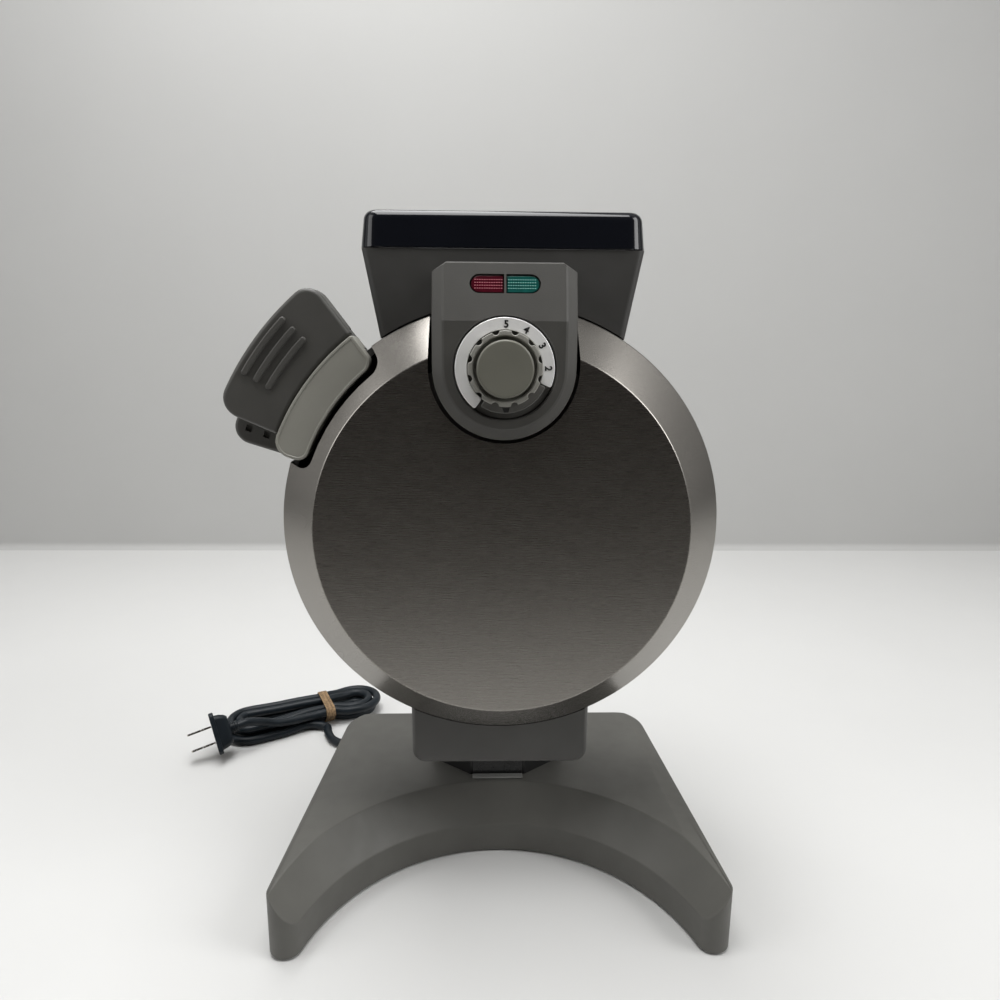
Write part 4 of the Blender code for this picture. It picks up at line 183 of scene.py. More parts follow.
# Handle, set at an angle round the drum's axis; corners go round from the outer start
HANDLE_MID_DEG = 141.6
BRACKET_INNER = 0.109
BRACKET_OUTER = 0.1275
BRACKET_SPAN = (127, 160.6)
BRACKET_CORNERS = (0.0015, 0.009, 0.006, 0.006)
BRACKET_DEPTH = 0.040
BRACKET_EDGE = 0.0006
BORDER_WIDTH = 0.0008
BORDER_DROP = 0.0003
WEB_INNER = 0.119
WEB_DEPTH = 0.022
NOTCH_GAP = 0.0034
NOTCH_SIDE_DEG = 1.8
NOTCH_CORNER = 0.007
NOTCH_STEPS = 6
PADDLE_INNER = 0.128
PADDLE_OUTER = 0.161
PADDLE_SPAN = (127, 156.5)
PADDLE_CORNERS = (0.010, 0.011, 0.0015, 0.0015)
PADDLE_FRONT = 0.038
PADDLE_BACK = 0.024
PADDLE_WALL = 0.003
PADDLE_EDGE = 0.0014
PADDLE_BACK_EDGE = 0.0008
PADDLE_SOFT_EDGE = 0.0022
RIB_RADII = (0.1417, 0.1487, 0.1555)
RIB_HALF_WIDTH = 0.0016
RIB_SPAN = (135, 148.3)
RIB_CORNERS = (0.0014,) * 4
RIB_STEPS = 12
RIB_HEIGHT = 0.0017
RIB_EDGE = 0.0009
PIVOT_RADIUS = 0.1325
PIVOT_DEPTH = 0.0285
PIVOT_REACH = 0.0027
PIVOT_BORE_RADIUS = 0.0018
PIVOT_BORE_HALF_LENGTH = 0.020
EAR_PLACE = 0.0105
LUG_PLACE = 0.016
EAR_HALF_THICKNESS = 0.0015
REAR_HANDLE_OUTER = 0.155
REAR_HANDLE_SPAN = (129.3, 162.5)
REAR_HANDLE_CORNERS = (0.010, 0.010, 0.0015, 0.0015)
REAR_HANDLE_FRONT = 0.019
REAR_HANDLE_BACK = -0.014
REAR_HANDLE_WALL = 0.0025
REAR_COVER = 0.0022
REAR_COVER_EDGE = 0.001
HOOK_SLOT = (0.138, 0.1445)
HOOK_SLOT_HALF_WIDTH = 0.006
POCKET_RADII = (0.135, 0.145)
POCKET_DEG = 159.2
POCKET_SIDE = 0.0034
POCKET_INSET = 0.0015

# Neck: hinge cover, bracket, pin and pedestal
COVER_HALF_WIDTH = 0.051
COVER_DROP = 0.1422
COVER_CORNER = 0.008
COVER_SIDE = COVER_HALF_WIDTH - COVER_CORNER
COVER_EDGE = 0.002
COVER_SOFT = 0.0006
COVER_WALL = 0.0025
COVER_BACK_DEPTH = 0.001
COVER_FLOOR_DEPTH = 0.010
PIN_HALF_LENGTH = 0.031
PIN_BORE_RADIUS = 0.0028
LUG_INNER_X = 0.021
LUG_THICKNESS = 0.006
LUG_BOSS_RADIUS = 0.006
LUG_DEPTH = 0.014
LUG_ROOT_DROP = 0.112
STRAP_HALF_WIDTH = 0.0165
STRAP_THICKNESS = 0.0015
STRAP_Y = 0.0187
STRAP_FOOT = 0.0038
STRAP_EDGE = 0.0004
EAR_BOSS_RADIUS = 0.0055
COLUMN_TOP = 0.118
COLUMN_WALL = 0.003
COLUMN_CORNERS = [(0.018, 0.0205), (0.045, 0.0415), (0.045, 0.0635), (-0.045, 0.0635), (-0.045, 0.0415),
                  (-0.018, 0.0205)]

# Base
PLATEAU = 0.040
STAND_FOOT = PLATEAU + GAP
BAY_RADIUS = 0.112
BAY_TOP_RADIUS = 0.129
BAND_HEIGHT = 0.020
BAY_Y = -0.1655
TIP_RADIUS = 0.009
TIP_TURN_DEG = 17.34
TIP_X = (BAY_RADIUS + TIP_RADIUS) * cos(radians(TIP_TURN_DEG))
TIP_Y = BAY_Y + (BAY_RADIUS + TIP_RADIUS) * sin(radians(TIP_TURN_DEG))
BACK_Y = 0.054
CORNER_RADIUS = 0.018
CORNER_INSET = 0.0215
CHAMFER_INSET = 0.012
CHAMFER_SLOPE = 0.2
CHAMFER_TURN_DEG = 2.8
BASE_RIDGE = 0.0008
BASE_RIDGE_STEPS = 3
BASE_RIDGE_DEG = 8
BASE_WALL = 0.0025
BASE_BOTTOM = 0.0012
BOSS_SEAT = 0.0048
BOSS_RADIUS = 0.004
BOSS_INSETS = ((0.0295, 0.048), (0.0175, 0.122))
BASE_SCREW_LENGTH = 0.012

# Spout
SPOUT_BOTTOM_RISE = 0.080
SPOUT_TOP_RISE = 0.145
SPOUT_BOTTOM_HALF_WIDTH = 0.060
SPOUT_TOP_HALF_WIDTH = 0.0725
SPOUT_FRONT_Y = -0.029
SPOUT_BACK_Y = 0.045
SPOUT_WALL = 0.0025
SPOUT_EDGE = 0.004
FRAME_HEIGHT = 0.0188
FRAME_OVERHANG = 0.0008
FRAME_WALL = 0.0085
FRAME_CORNER = 0.010
FRAME_DRAFT = 0.0015
FRAME_EDGE = 0.005
FRAME_FOOT = 0.0004
FRAME_LIP = 0.0016
CHUTE_WALL = 0.0016
CHUTE_TOP_RISE = 0.1445
CHUTE_CORNER = 0.003
THROAT_HALF_WIDTH = 0.021
THROAT_HALF_DEPTH = 0.008
THROAT_BOTTOM_RISE = 0.1195
THROAT_RISE = 0.124

# Power cord and its strain relief
CORD_RADIUS = 0.0033
CORD_CLEARANCE = 0.0007
CORD_PIECES = 4
CORD_ROUNDNESS = 6
GLAND_X = -0.055
GLAND_HEIGHT = 0.012
GLAND_LENGTH = 0.022
GLAND_ROOT_RADIUS = 0.0056
GLAND_TIP_RADIUS = 0.0042
GLAND_ROUND = 0.0006
GLAND_RIBS = 4
GLAND_GROOVE = 0.0008
GLAND_GROOVE_SHARE = 0.2
GLAND_FLANGE_RADIUS = 0.0075
GLAND_FLANGE = 0.002
GLAND_SLEEVE_RADIUS = 0.0050
GLAND_BORE_RADIUS = 0.0053
LEAD_ROUTE = [(-0.0565, 0.0905, 0.0095), (-0.0640, 0.0975, 0.0060), (-0.0760, 0.0960, 0.0040),
              (-0.0880, 0.0880, 0.0036), (-0.1000, 0.0800, 0.0036), (-0.1120, 0.0735, 0.0036),
              (-0.1235, 0.0725, 0.0036), (-0.1325, 0.0790, 0.0036), (-0.1384, 0.0905, 0.0036),
              (-0.1416, 0.0990, 0.0036)]

# Tied hank: its frame has x along the hank to the right, y away from the viewer and z up
HANK_PLACE = (-0.1467, 0.1240)
HANK_TURN_DEG = 24.6
HANK_LOOPS = 4
HANK_END_POINT = 1
LOOP_PITCH = 0.00735
LAYER_PITCH = 0.0074
LAYER_HEIGHT = 0.0036
WAIST_HALF = 0.00185
LEFT_RUN = 0.0625
LEFT_LOBE = 0.0075
RIGHT_RUN = 0.0255
RIGHT_LOBE = 0.0065
RUN_POINTS = 3
LOBE_POINTS = 6
CLIMB_TURNS = 0.5
TAIL_ROUTE = [(-0.0417, -0.0212, 0.0140), (-0.0555, -0.0222, 0.0185)]
TIE_LIFT = 0.0013
TIE_WIDTH = 0.0076
STRAND_COUNT = 9
STRAND_RADIUS = 0.00043
STRAND_ROUNDNESS = 3
STRAND_WANDER = 0.00016
STRAND_WAVES = 2
STRAND_PHASE = 1.7

# Power plug: heights run from its back
PLUG_PLACE = (-0.2044, 0.0680, 0.0224)
PLUG_TURN_DEG = -63.5
PLUG_LEAN_DEG = 100
PLUG_ROLL_DEG = 28.5
PLUG_CORNER = 0.004
PLUG_EDGE = 0.0009
PLUG_BACK_SIZE = (0.014, 0.022)
PLUG_NECK_SIZE = (0.018, 0.028)
PLUG_FLANGE_SIZE = (0.022, 0.033)
PLUG_FLANGE_LOW = 0.015
PLUG_LENGTH = 0.0185
PLUG_LEVELS = ((0, PLUG_EDGE, 0.006), (0, 0, 0.0069), (0.35, 0, 0.00825), (0.75, 0, 0.0114), (1, 0, 0.016))
BOOT_RADIUS = 0.0050
BOOT_TIP_RADIUS = 0.0040
BOOT_LENGTH = 0.006
BOOT_GROOVES = ((0.00430, 0.00120), (0.00455, 0.00282), (0.00480, 0.00444))
BOOT_GROOVE_EDGE = ((0, -0.0004), (0, 0.0004), (-0.0006, 0.0007), (-0.0006, 0.0010))
BLADE_SPREAD = 0.00635
BLADE_HALF_WIDTH = 0.003175
BLADE_THICKNESS = 0.0015
BLADE_LENGTH = 0.018
BLADE_CORNER = 0.0018
BLADE_STEPS = 6
BLADE_HOLE_RISE = 0.01296
BLADE_HOLE_RADIUS = 0.0015

# Camera
CAMERA_PLACE = (-0.0112, -0.4679, 0.3208)
CAMERA_PITCH_DEG = 12.05
CAMERA_YAW_DEG = 1.51
CAMERA_ROLL_DEG = 0.44
LENS = 26.29

# Stage and light: each lamp has a place, a target, a size and its watts
WALL_Y = 0.66
COVE_RADIUS = 0.01
COVE_STEPS = 12
STAGE_HALF_WIDTH = 3.0
STAGE_FRONT_Y = -3.0
STAGE_TOP = 2.4
# The floor fades from its pale colour to a dark one far in front: painted shade for the dim room there, which
# darkens the steel face's reflection
FAR_FLOOR_PAINTED_SHADE = (0.06, 0.055, 0.05)
FLOOR_SHADE_FADE = (-0.65, -0.22)
ROOM_STRENGTH = 0.8
ROOM_STOPS = ((0.0, (0.030, 0.026, 0.023)), (0.25, (0.14, 0.13, 0.125)), (0.5, (0.60, 0.60, 0.59)),
              (1.0, (0.80, 0.80, 0.79)))
LIGHTS = {"top": ((-0.15, -0.05, 1.35), (0, 0, 0.1), (1.2, 0.7), 18.5),
          "right": ((1.1, -0.5, 0.9), (0, -0.05, 0.2), (0.6, 0.9), 9.0),
          "left": ((-1.1, -0.5, 0.8), (0, -0.05, 0.2), (0.6, 0.9), 4.0)}

# Looks: each has a colour, roughness, the bump's scale and height, and other values of surface()
BRUSH_STRETCH = (40, 2600, 2600)
BRUSH_ANISOTROPY = 0.55
BRUSH_ROTATION = 0.25
COAT_ROUGHNESS = 0.1
PATCH_DETAIL = 4.0
GLOSS_SCALE = 3
GLOSS_DETAIL = 5.0
GRAIN_DETAIL = 2.0
SMOOTH_DEG = 32
NORMAL_WEIGHT = 80
METAL = {"metallic": 1.0, "mottle_scale": 60}
LENS_LOOK = {"mottle": 0.25, "mottle_scale": 260, "spread": 0.03, "coat": 0.3}
STAGE_LOOK = {"mottle": 0.01, "mottle_scale": 6, "specular": 0.2}
LOOKS = {
    # A lighter copy of strap_steel for the strap's foot: painted light where the foot faces up
    "lit_foot_steel": ((0.20, 0.20, 0.19), 0.42, 1500, 3e-5, {}),
    "base_grey": ((0.100, 0.098, 0.088), 0.52, 1500, 5e-5, {}),
    "neck_grey": ((0.060, 0.058, 0.054), 0.48, 1700, 4e-5, {}),
    "dark_grey": ((0.070, 0.068, 0.062), 0.50, 1700, 4e-5, {}),
    "bracket_grey": ((0.30, 0.295, 0.26), 0.45, 1700, 4e-5, {}),
    "spout_grey": ((0.052, 0.051, 0.048), 0.46, 1700, 3e-5, {}),
    "black_plastic": ((0.014, 0.014, 0.014), 0.42, 1600, 3e-5, {}),
    "gloss_black": ((0.005, 0.006, 0.009), 0.09, 60, 1e-5, {"spread": 0.02, "coat": 0.1, "specular": 0.4}),
    "brushed_shell": ((0.30, 0.284, 0.262), 0.27, 1, 1.5e-6,
                      {"metallic": 1.0, "mottle": 0.04, "mottle_scale": 1.0, "stretch": BRUSH_STRETCH}),
    "steel": ((0.50, 0.50, 0.49), 0.32, 1200, 1e-5, METAL),
    "strap_steel": ((0.02, 0.02, 0.02), 0.25, 1200, 1e-5, {"metallic": 0.6, "mottle_scale": 60}),
    # Black plastic made blacker still: painted shade for the deep shadow under the neck block
    "column_shade_black": ((0.005, 0.005, 0.005), 0.50, 1600, 3e-5, {}),
    "cast_aluminium": ((0.09, 0.09, 0.09), 0.42, 1300, 6e-5, {"metallic": 0.7, "mottle": 0.12}),
    "silver": ((0.97, 0.97, 0.955), 0.38, 1500, 1e-5, {"metallic": 0.2, "mottle": 0.03, "spread": 0.02}),
    "blade_brass": ((0.66, 0.64, 0.58), 0.25, 1500, 1e-5, {"metallic": 1.0, "mottle_scale": 200}),
    "rubber": ((0.015, 0.015, 0.015), 0.80, 1200, 6e-5, {}),
    "red_lens": ((0.065, 0.002, 0.009), 0.14, 900, 2e-5, LENS_LOOK),
    "green_lens": ((0.006, 0.080, 0.068), 0.14, 900, 2e-5, LENS_LOOK),
    "circuit_board": ((0.02, 0.10, 0.03), 0.45, 2200, 2e-5, {"mottle": 0.2, "mottle_scale": 300}),
    "white_plastic": ((0.62, 0.60, 0.56), 0.45, 2200, 2e-5, {}),
    "elastic": ((0.28, 0.185, 0.10), 0.85, 3000, 12e-5, {"mottle": 0.4, "mottle_scale": 500}),
    # Black rubber tinted blue: the blue tint is a painted sheen
    "cord_black_blue_sheen": ((0.009, 0.013, 0.017), 0.42, 1800, 4e-5,
                   {"mottle": 0.2, "mottle_scale": 90, "specular": 0.25}),
    "grip_grey": ((0.30, 0.295, 0.265), 0.42, 1700, 3e-5, {}),
    "cap_grey": ((0.160, 0.158, 0.130), 0.45, 1700, 3e-5, {}),
    # The flange's own dark grey, also on the finger tab, where being darker than grip_grey is painted shade
    # on the downward-facing tab
    "flange_grey_tab_shade": ((0.110, 0.108, 0.100), 0.45, 1700, 3e-5, {}),
    "ink": ((0.008, 0.008, 0.008), 0.60, 2200, 2e-5, {}),
    "dash_red": ((0.75, 0.25, 0.30), 0.35, 2200, 2e-5, {}),
    "dash_green": ((0.35, 0.75, 0.68), 0.35, 2200, 2e-5, {}),
    "floor": ((0.63, 0.63, 0.62), 0.55, 90, 3e-5, STAGE_LOOK),
    "wall": ((0.49, 0.49, 0.48), 0.70, 90, 3e-5, STAGE_LOOK),
}


# Frames: each is a matrix from local to world coordinates

def move(x, y, z):
    return Matrix.Translation((x, y, z))


def turn(angle_deg, axis):
    return Matrix.Rotation(radians(angle_deg), 4, axis)


# Local z is up in the first two, and y runs backwards from the parting plane
NECK = move(0, PARTING_Y, 0)
PLAN = move(0, PARTING_Y, DISC_HEIGHT)
# Local z runs forwards from the drum's axis at the parting plane, or backwards, or along world X
DRUM = PLAN @ turn(90, "X")
REAR = DRUM @ turn(180, "Y")
HINGE = move(0, PARTING_Y, HINGE_HEIGHT) @ turn(90, "Y")
# Local x runs out along the handle's middle, y along its width and z forwards; the pivot's z runs along y
HANDLE = DRUM @ turn(HANDLE_MID_DEG, "Z")
PIVOT = HANDLE @ move(PIVOT_RADIUS, 0, PIVOT_DEPTH) @ turn(90, "X")
# Local z stands square on the housing's upper facet, and on the floor of the knob's well
FACET = DRUM @ move(0, FACET_RISE, HOUSING_DEPTH) @ turn(-FACET_TILT_DEG, "X")
DIAL = DRUM @ move(0, DIAL_RISE, HOUSING_DEPTH - WELL_DEPTH)
# Local z runs backwards out of the base, up from the floor, and from the plug's back to its blades
GLAND = move(GLAND_X, BACK_Y, GLAND_HEIGHT) @ turn(-90, "X")
HANK = move(*HANK_PLACE, 0) @ turn(HANK_TURN_DEG, "Z")
PLUG = move(*PLUG_PLACE) @ turn(PLUG_TURN_DEG, "Z") @ turn(PLUG_LEAN_DEG, "X") @ turn(PLUG_ROLL_DEG, "Z")


# Mesh helpers: every mesh keeps its place in its points, so that the materials' coordinates are metres

def put(name, data):
    item = bpy.data.objects.new(name, data)
    bpy.context.scene.collection.objects.link(item)
    return item


def from_shape(shape, place=Matrix()):
    """A new object from a bmesh, which is freed."""
    mesh = bpy.data.meshes.new("shape")
    shape.to_mesh(mesh)
    shape.free()
    mesh.transform(place)
    return put("shape", mesh)


def evaluated(item):
    """An object's mesh with its modifiers applied."""
    bpy.context.view_layer.update()
    return bpy.data.meshes.new_from_object(item.evaluated_get(bpy.context.evaluated_depsgraph_get()))


def settle(item):
    mesh = evaluated(item)
    item.modifiers.clear()
    item.data = mesh
    return item


def combine(item, operation, others):
    for other in others:
        modifier = item.modifiers.new("combine", "BOOLEAN")
        modifier.operation = operation
        modifier.object = other
        modifier.solver = "EXACT"
    settle(item)
    for other in others:
        bpy.data.objects.remove(other)
    return item


def cut(item, *others):
    return combine(item, "DIFFERENCE", others)


def join(item, *others):
    return combine(item, "UNION", others)


def gather(items):
    """Several meshes in one object."""
    shape = bmesh.new()
    for item in items:
        shape.from_mesh(item.data)
        bpy.data.objects.remove(item)
    return from_shape(shape)


def box(low, high, place, edge=0):
    """A box between two corners, with round edges where an edge is given."""
    shape = bmesh.new()
    bmesh.ops.create_cube(shape, size=1)
    bmesh.ops.scale(shape, vec=[b - a for a, b in zip(low, high)], verts=shape.verts)
    bmesh.ops.translate(shape, vec=[(a + b) / 2 for a, b in zip(low, high)], verts=shape.verts)
    if edge:
        bmesh.ops.bevel(shape, geom=shape.edges, offset=edge, segments=2, profile=0.5, affect="EDGES")
    return from_shape(shape, place)


def bar(low, high, radius, place, steps=FINE_STEPS, top_radius=None, spots=((0, 0),)):
    """A round bar along local z, or several at some spots, or a cone."""
    shape = bmesh.new()
    top_radius = top_radius or radius
    for x, y in spots:
        bmesh.ops.create_cone(shape, cap_ends=True, segments=steps, radius1=radius, radius2=top_radius,
                              depth=high - low, matrix=move(x, y, (low + high) / 2))
    return from_shape(shape, place)


def rolled(items):
    return items[1:] + items[:1]


def turned(profile, place, closed=False, steps=ROUND_STEPS):
    """Turn a profile of radius and height about local z; it runs down its outer side."""
    shape = bmesh.new()
    levels = []
    for radius, height in profile:
        if radius < MERGE:
            levels.append([shape.verts.new((0, 0, height))] * steps)
        else:
            turns = [2 * pi * i / steps for i in range(steps)]
            levels.append([shape.verts.new((radius * cos(a), radius * sin(a), height)) for a in turns])
    for first, second in zip(levels, levels[1:] + levels[:closed]):
        for corners in zip(first, second, rolled(second), rolled(first)):
            shape.faces.new(tuple(dict.fromkeys(corners)))
    bmesh.ops.recalc_face_normals(shape, faces=shape.faces)
    return from_shape(shape, place)


def curve_through(routes, cyclic, **settings):
    """A curve object through lists of points."""
    curve = bpy.data.curves.new("curve", "CURVE")
    for name, value in settings.items():
        setattr(curve, name, value)
    for route in routes:
        spline = curve.splines.new("POLY")
        spline.points.add(len(route) - 1)
        for point, spot in zip(spline.points, route):
            point.co = (*spot, 1)
        spline.use_cyclic_u = cyclic
        spline.use_smooth = True
    return put("curve", curve)


def meshed(item, place):
    """A welded mesh object in a curve's or a text's stead."""
    mesh = evaluated(item)
    bpy.data.objects.remove(item)
    shape = bmesh.new()
    shape.from_mesh(mesh)
    bmesh.ops.remove_doubles(shape, verts=shape.verts, dist=MERGE)
    bmesh.ops.recalc_face_normals(shape, faces=shape.faces)
    return from_shape(shape, place)


def flat(outlines, low, high, place):
    """Flat outlines, with any holes as further outlines, between two heights along local z."""
    routes = [[(x, y, 0) for x, y in outline] for outline in outlines]
    item = curve_through(routes, True, dimensions="2D", fill_mode="BOTH", extrude=(high - low) / 2)
    return meshed(item, place @ move(0, 0, (low + high) / 2))


def loft(rings, place):
    """A closed solid through rings that all have the same number of points."""
    shape = bmesh.new()
    levels = [[shape.verts.new(spot) for spot in ring] for ring in rings]
    for below, above in zip(levels, levels[1:]):
        for corners in zip(below, rolled(below), rolled(above), above):
            shape.faces.new(corners)
    shape.faces.new(levels[0][::-1])
    shape.faces.new(levels[-1])
    bmesh.ops.recalc_face_normals(shape, faces=shape.faces)
    return from_shape(shape, place)


def layered(outline, levels, place):
    """A solid through an outline at levels of inset and height."""
    return loft([[(x, y, height) for x, y in outline(inset)] for inset, height in levels], place)


def eased(edge, steps=EDGE_STEPS):
    """Insets and set-backs round an edge, from the side to the face."""
    turns = [pi / 2 * i / steps for i in range(steps + 1)]
    return [(edge * (1 - cos(a)), edge * (1 - sin(a))) for a in turns]


def slab(outline, low, high, low_edge, high_edge, place, extra=()):
    """A solid between two heights, with round edges; extra insets and drops go on across its top."""
    levels = [(inset, low + back) for inset, back in reversed(eased(low_edge))]
    levels += [(inset, high - back) for inset, back in (*eased(high_edge), *extra)]
    return layered(outline, levels, place)


def soft_chamfer(edge, soft):
    """Insets and set-backs across a chamfer whose two corners are taken off again."""
    lean = soft * sqrt(0.5)
    return [(0, edge + soft), (lean, edge - lean), (edge - lean, lean), (edge + soft, 0)]


# Outlines

def span(side, near, far):
    """The lower and the higher end of a run on one side of the middle."""
    return sorted((side * near, side * far))


def arc(x, y, radius, start_deg, end_deg, steps=CORNER_STEPS):
    """Points along an arc, both ends included."""
    angles = [radians(start_deg + (end_deg - start_deg) * i / steps) for i in range(steps + 1)]
    return [(x + radius * cos(a), y + radius * sin(a)) for a in angles]


def rounded_box(half_x, low_y, high_y, radius):
    """An anticlockwise rectangle with round corners."""
    x = half_x - radius
    front = low_y + radius
    back = high_y - radius
    return (arc(x, front, radius, -90, 0) + arc(x, back, radius, 0, 90)
            + arc(-x, back, radius, 90, 180) + arc(-x, front, radius, 180, 270))


def sector(inner, outer, start_deg, end_deg, corners=(SHEET,) * 4, steps=SECTOR_STEPS):
    """A ring sector with round corners, as a function that gives its outline at an inset."""
    def outline(inset):
        start = radians(start_deg)
        end = radians(end_deg)
        near = inner + inset
        far = outer - inset
        sizes = [max(corner - inset, MERGE * 10) for corner in corners]
        sides = ((far, near, start, end, sizes[:3], -1), (near, far, end, start, sizes[2:] + sizes[:1], 1))
        places = []
        for radius, other, first, last, size, side in sides:
            # Radii and angles along one side, then round the two corners at its end
            low = first - side * (size[0] + inset) / radius
            high = last + side * (size[1] + inset) / radius
            places += [(radius, low + (high - low) * i / steps) for i in range(1, steps)]
            for bend, way, corner, turn_deg in ((radius, side, size[1], 90 + 90 * side),
                                                (other, -side, size[2], 180 + 90 * side)):
                places += [(bend + way * corner + corner * c,
                            last + side * (corner + inset) / bend + corner / bend * s)
                           for c, s in arc(0, 0, 1, turn_deg, turn_deg + 90)]
        return [(radius * cos(angle), radius * sin(angle)) for radius, angle in places]

    return outline


def pill(low_x, high_x, half, round_low, round_high, y):
    """A bar along x, whose ends are round or square."""
    points = []
    for x, side, is_round in ((high_x, 1, round_high), (low_x, -1, round_low)):
        if is_round:
            points += arc(x - side * half, y, half, -90 * side, 180 - 90 * side, 2 * CORNER_STEPS)
        else:
            points += [(x, y - side * half), (x, y + side * half)]
    return points


def drawn_in(points, inset):
    """An anticlockwise outline with each straight side moved inwards."""
    sides = []
    for start, end in zip(points, rolled(points)):
        run = (Vector(end) - Vector(start)).normalized()
        sides.append((Vector(start) + inset * Vector((-run.y, run.x)), run))
    corners = []
    for i, (place, run) in enumerate(sides):
        before_place, before_run = sides[i - 1]
        reach = (place - before_place).cross(run) / before_run.cross(run)
        corners.append(tuple(before_place + reach * before_run))
    return corners


# Drum

def dish(wall, fold, place):
    """A half's shell, with a round fold at the face's edge and a round shoulder over the ring."""
    lean = atan2(RIM_RISE, RIM_WIDTH)
    side_deg = 90 - degrees(lean)
    fall = RIM_RISE / RIM_WIDTH
    drop = wall * hypot(1, fall)
    inner = FACE_DEPTH - wall
    back = SHOULDER_RADIUS * tan((pi / 2 - lean) / 2)
    profile = [(0, FACE_DEPTH)]
    profile += arc(FACE_RADIUS - fold * tan(lean / 2), FACE_DEPTH - fold, fold, 90, side_deg, EDGE_STEPS)
    profile += arc(DISC_RADIUS - SHOULDER_RADIUS, RIM_DEPTH - back, SHOULDER_RADIUS, side_deg, 0, EDGE_STEPS)
    profile += [(DISC_RADIUS, SKIRT_DEPTH), (DISC_RADIUS - SHEET, SKIRT_DEPTH),
                (DISC_RADIUS - SHEET, RIM_DEPTH + SHEET * fall - drop),
                (DISC_RADIUS - (inner - RIM_DEPTH + drop) / fall, inner), (0, inner)]
    return turned(profile, place)


def drum_envelope(place, gap):
    """A solid that keeps the pieces round the drum clear of one half."""
    edge = DISC_RADIUS + gap
    return turned([(0, FACE_DEPTH + gap), (FACE_RADIUS + gap, FACE_DEPTH + gap), (edge, RIM_DEPTH + gap),
                   (edge, -PARTING_GAP), (0, -PARTING_GAP)], place)


def steel_dish():
    """The door's brushed shell, with its slot for the housing and its notch for the handle."""
    item = dish(SHEET, FOLD_RADIUS, DRUM)
    slot = flat([housing_outline(-SLOT_GAP)], SKIRT_DEPTH - OVERRUN, FACE_DEPTH + OVERRUN, DRUM)
    notch = sector(BRACKET_INNER - NOTCH_GAP, DISC_RADIUS + OVERRUN, BRACKET_SPAN[0] - NOTCH_SIDE_DEG,
                   BRACKET_SPAN[1] + NOTCH_SIDE_DEG, (SHEET, SHEET, NOTCH_CORNER, NOTCH_CORNER), NOTCH_STEPS)
    return cut(item, slot, flat([notch(0)], SKIRT_DEPTH - OVERRUN, FACE_DEPTH, DRUM))


def ring_skin(place=REAR):
    """A housing ring with a small round at the parting line."""
    step = DISC_RADIUS - SHEET - GAP
    shoulder = SKIRT_DEPTH - GAP
    flange = PARTING_GAP + RING_FLANGE
    profile = [(step, RING_WALL_DEPTH), (step, shoulder), (DISC_RADIUS, shoulder)]
    profile += arc(DISC_RADIUS - PARTING_ROUND, PARTING_GAP + PARTING_ROUND, PARTING_ROUND, 0, -90,
                   EDGE_STEPS)
    profile += [(RING_INNER, PARTING_GAP), (RING_INNER, flange), (RING_WALL_INNER, flange),
                (RING_WALL_INNER, RING_WALL_DEPTH)]
    notch = box((-INLET_NOTCH_HALF_WIDTH, RING_INNER - OVERRUN, -OVERRUN),
                (INLET_NOTCH_HALF_WIDTH, DISC_RADIUS + OVERRUN, INLET_NOTCH_DEPTH), place)
    return cut(turned(profile, place, closed=True), notch)


def front_ring_skin():
    """The door's ring, with its two round-ended lugs."""
    item = ring_skin(DRUM)
    rise = HINGE_HEIGHT - DISC_HEIGHT
    # Its place comes from DRUM, as the lugs' places do, so that the lugs and bosses meet without slivers
    hinge = Matrix.Translation(DRUM @ Vector((0, rise, 0))) @ turn(90, "Y")
    for side in (-1, 1):
        low, high = span(side, LUG_INNER_X, LUG_INNER_X + LUG_THICKNESS)
        lug = box((low, rise, 0), (high, -LUG_ROOT_DROP, LUG_DEPTH), DRUM)
        join(item, lug, bar(low, high, LUG_BOSS_RADIUS, hinge))
    return cut(item, bar(-PIN_HALF_LENGTH, PIN_HALF_LENGTH, PIN_BORE_RADIUS, hinge))


def back_skin():
    """The plastic back, with round-ended vent slots and recessed screw seats."""
    item = dish(REAR_WALL, BACK_FOLD_RADIUS, REAR)
    inner = FACE_DEPTH - REAR_WALL
    low = inner - REAR_POST_LENGTH
    screws = arc(0, 0, REAR_SCREW_CIRCLE, *REAR_SCREW_ARC)
    join(item, bar(low, inner + SHEET, REAR_POST_RADIUS, REAR, spots=screws))
    vents = [flat([pill(-VENT_HALF_LENGTH, VENT_HALF_LENGTH, VENT_HALF_HEIGHT, True, True, y)],
                  inner - OVERRUN, FACE_DEPTH + OVERRUN, REAR) for y in VENT_RISES]
    holes = [bar(low + SHEET, FACE_DEPTH + OVERRUN, SCREW_HOLE_RADIUS, REAR, spots=[spot]) for spot in screws]
    return cut(item, *vents, *holes)


# Control housing and its window

def housing_outline(inset, fall=None, corner=1.0):
    """The control housing from the front: round at the bottom, with cut top corners."""
    half = HOUSING_HALF_WIDTH - inset
    top = HOUSING_TOP_RISE - (inset if fall is None else fall)
    width = corner * HOUSING_CORNER_WIDTH
    height = corner * HOUSING_CORNER_HEIGHT
    side = [(half, FACET_RISE), (half, top - height), (half - width, top)]
    return arc(0, DIAL_RISE, half, 180, 360, FINE_STEPS) + side + [(-x, y) for x, y in reversed(side)]


def facet_depth(y):
    """Depth of the housing's front at a height: the upper facet leans back."""
    return HOUSING_DEPTH - max(0, y - FACET_RISE) * tan(radians(FACET_TILT_DEG))


def crease(item, first):
    """Split the cap, whose points start at an index, along the upper facet's lower edge."""
    shape = bmesh.new()
    shape.from_mesh(item.data)
    inverse = DRUM.inverted()
    ends = [v for v in list(shape.verts)[first:] if abs((inverse @ v.co).y - FACET_RISE) < MERGE]
    bmesh.ops.connect_verts(shape, verts=ends)
    shape.to_mesh(item.data)
    shape.free()
    return item


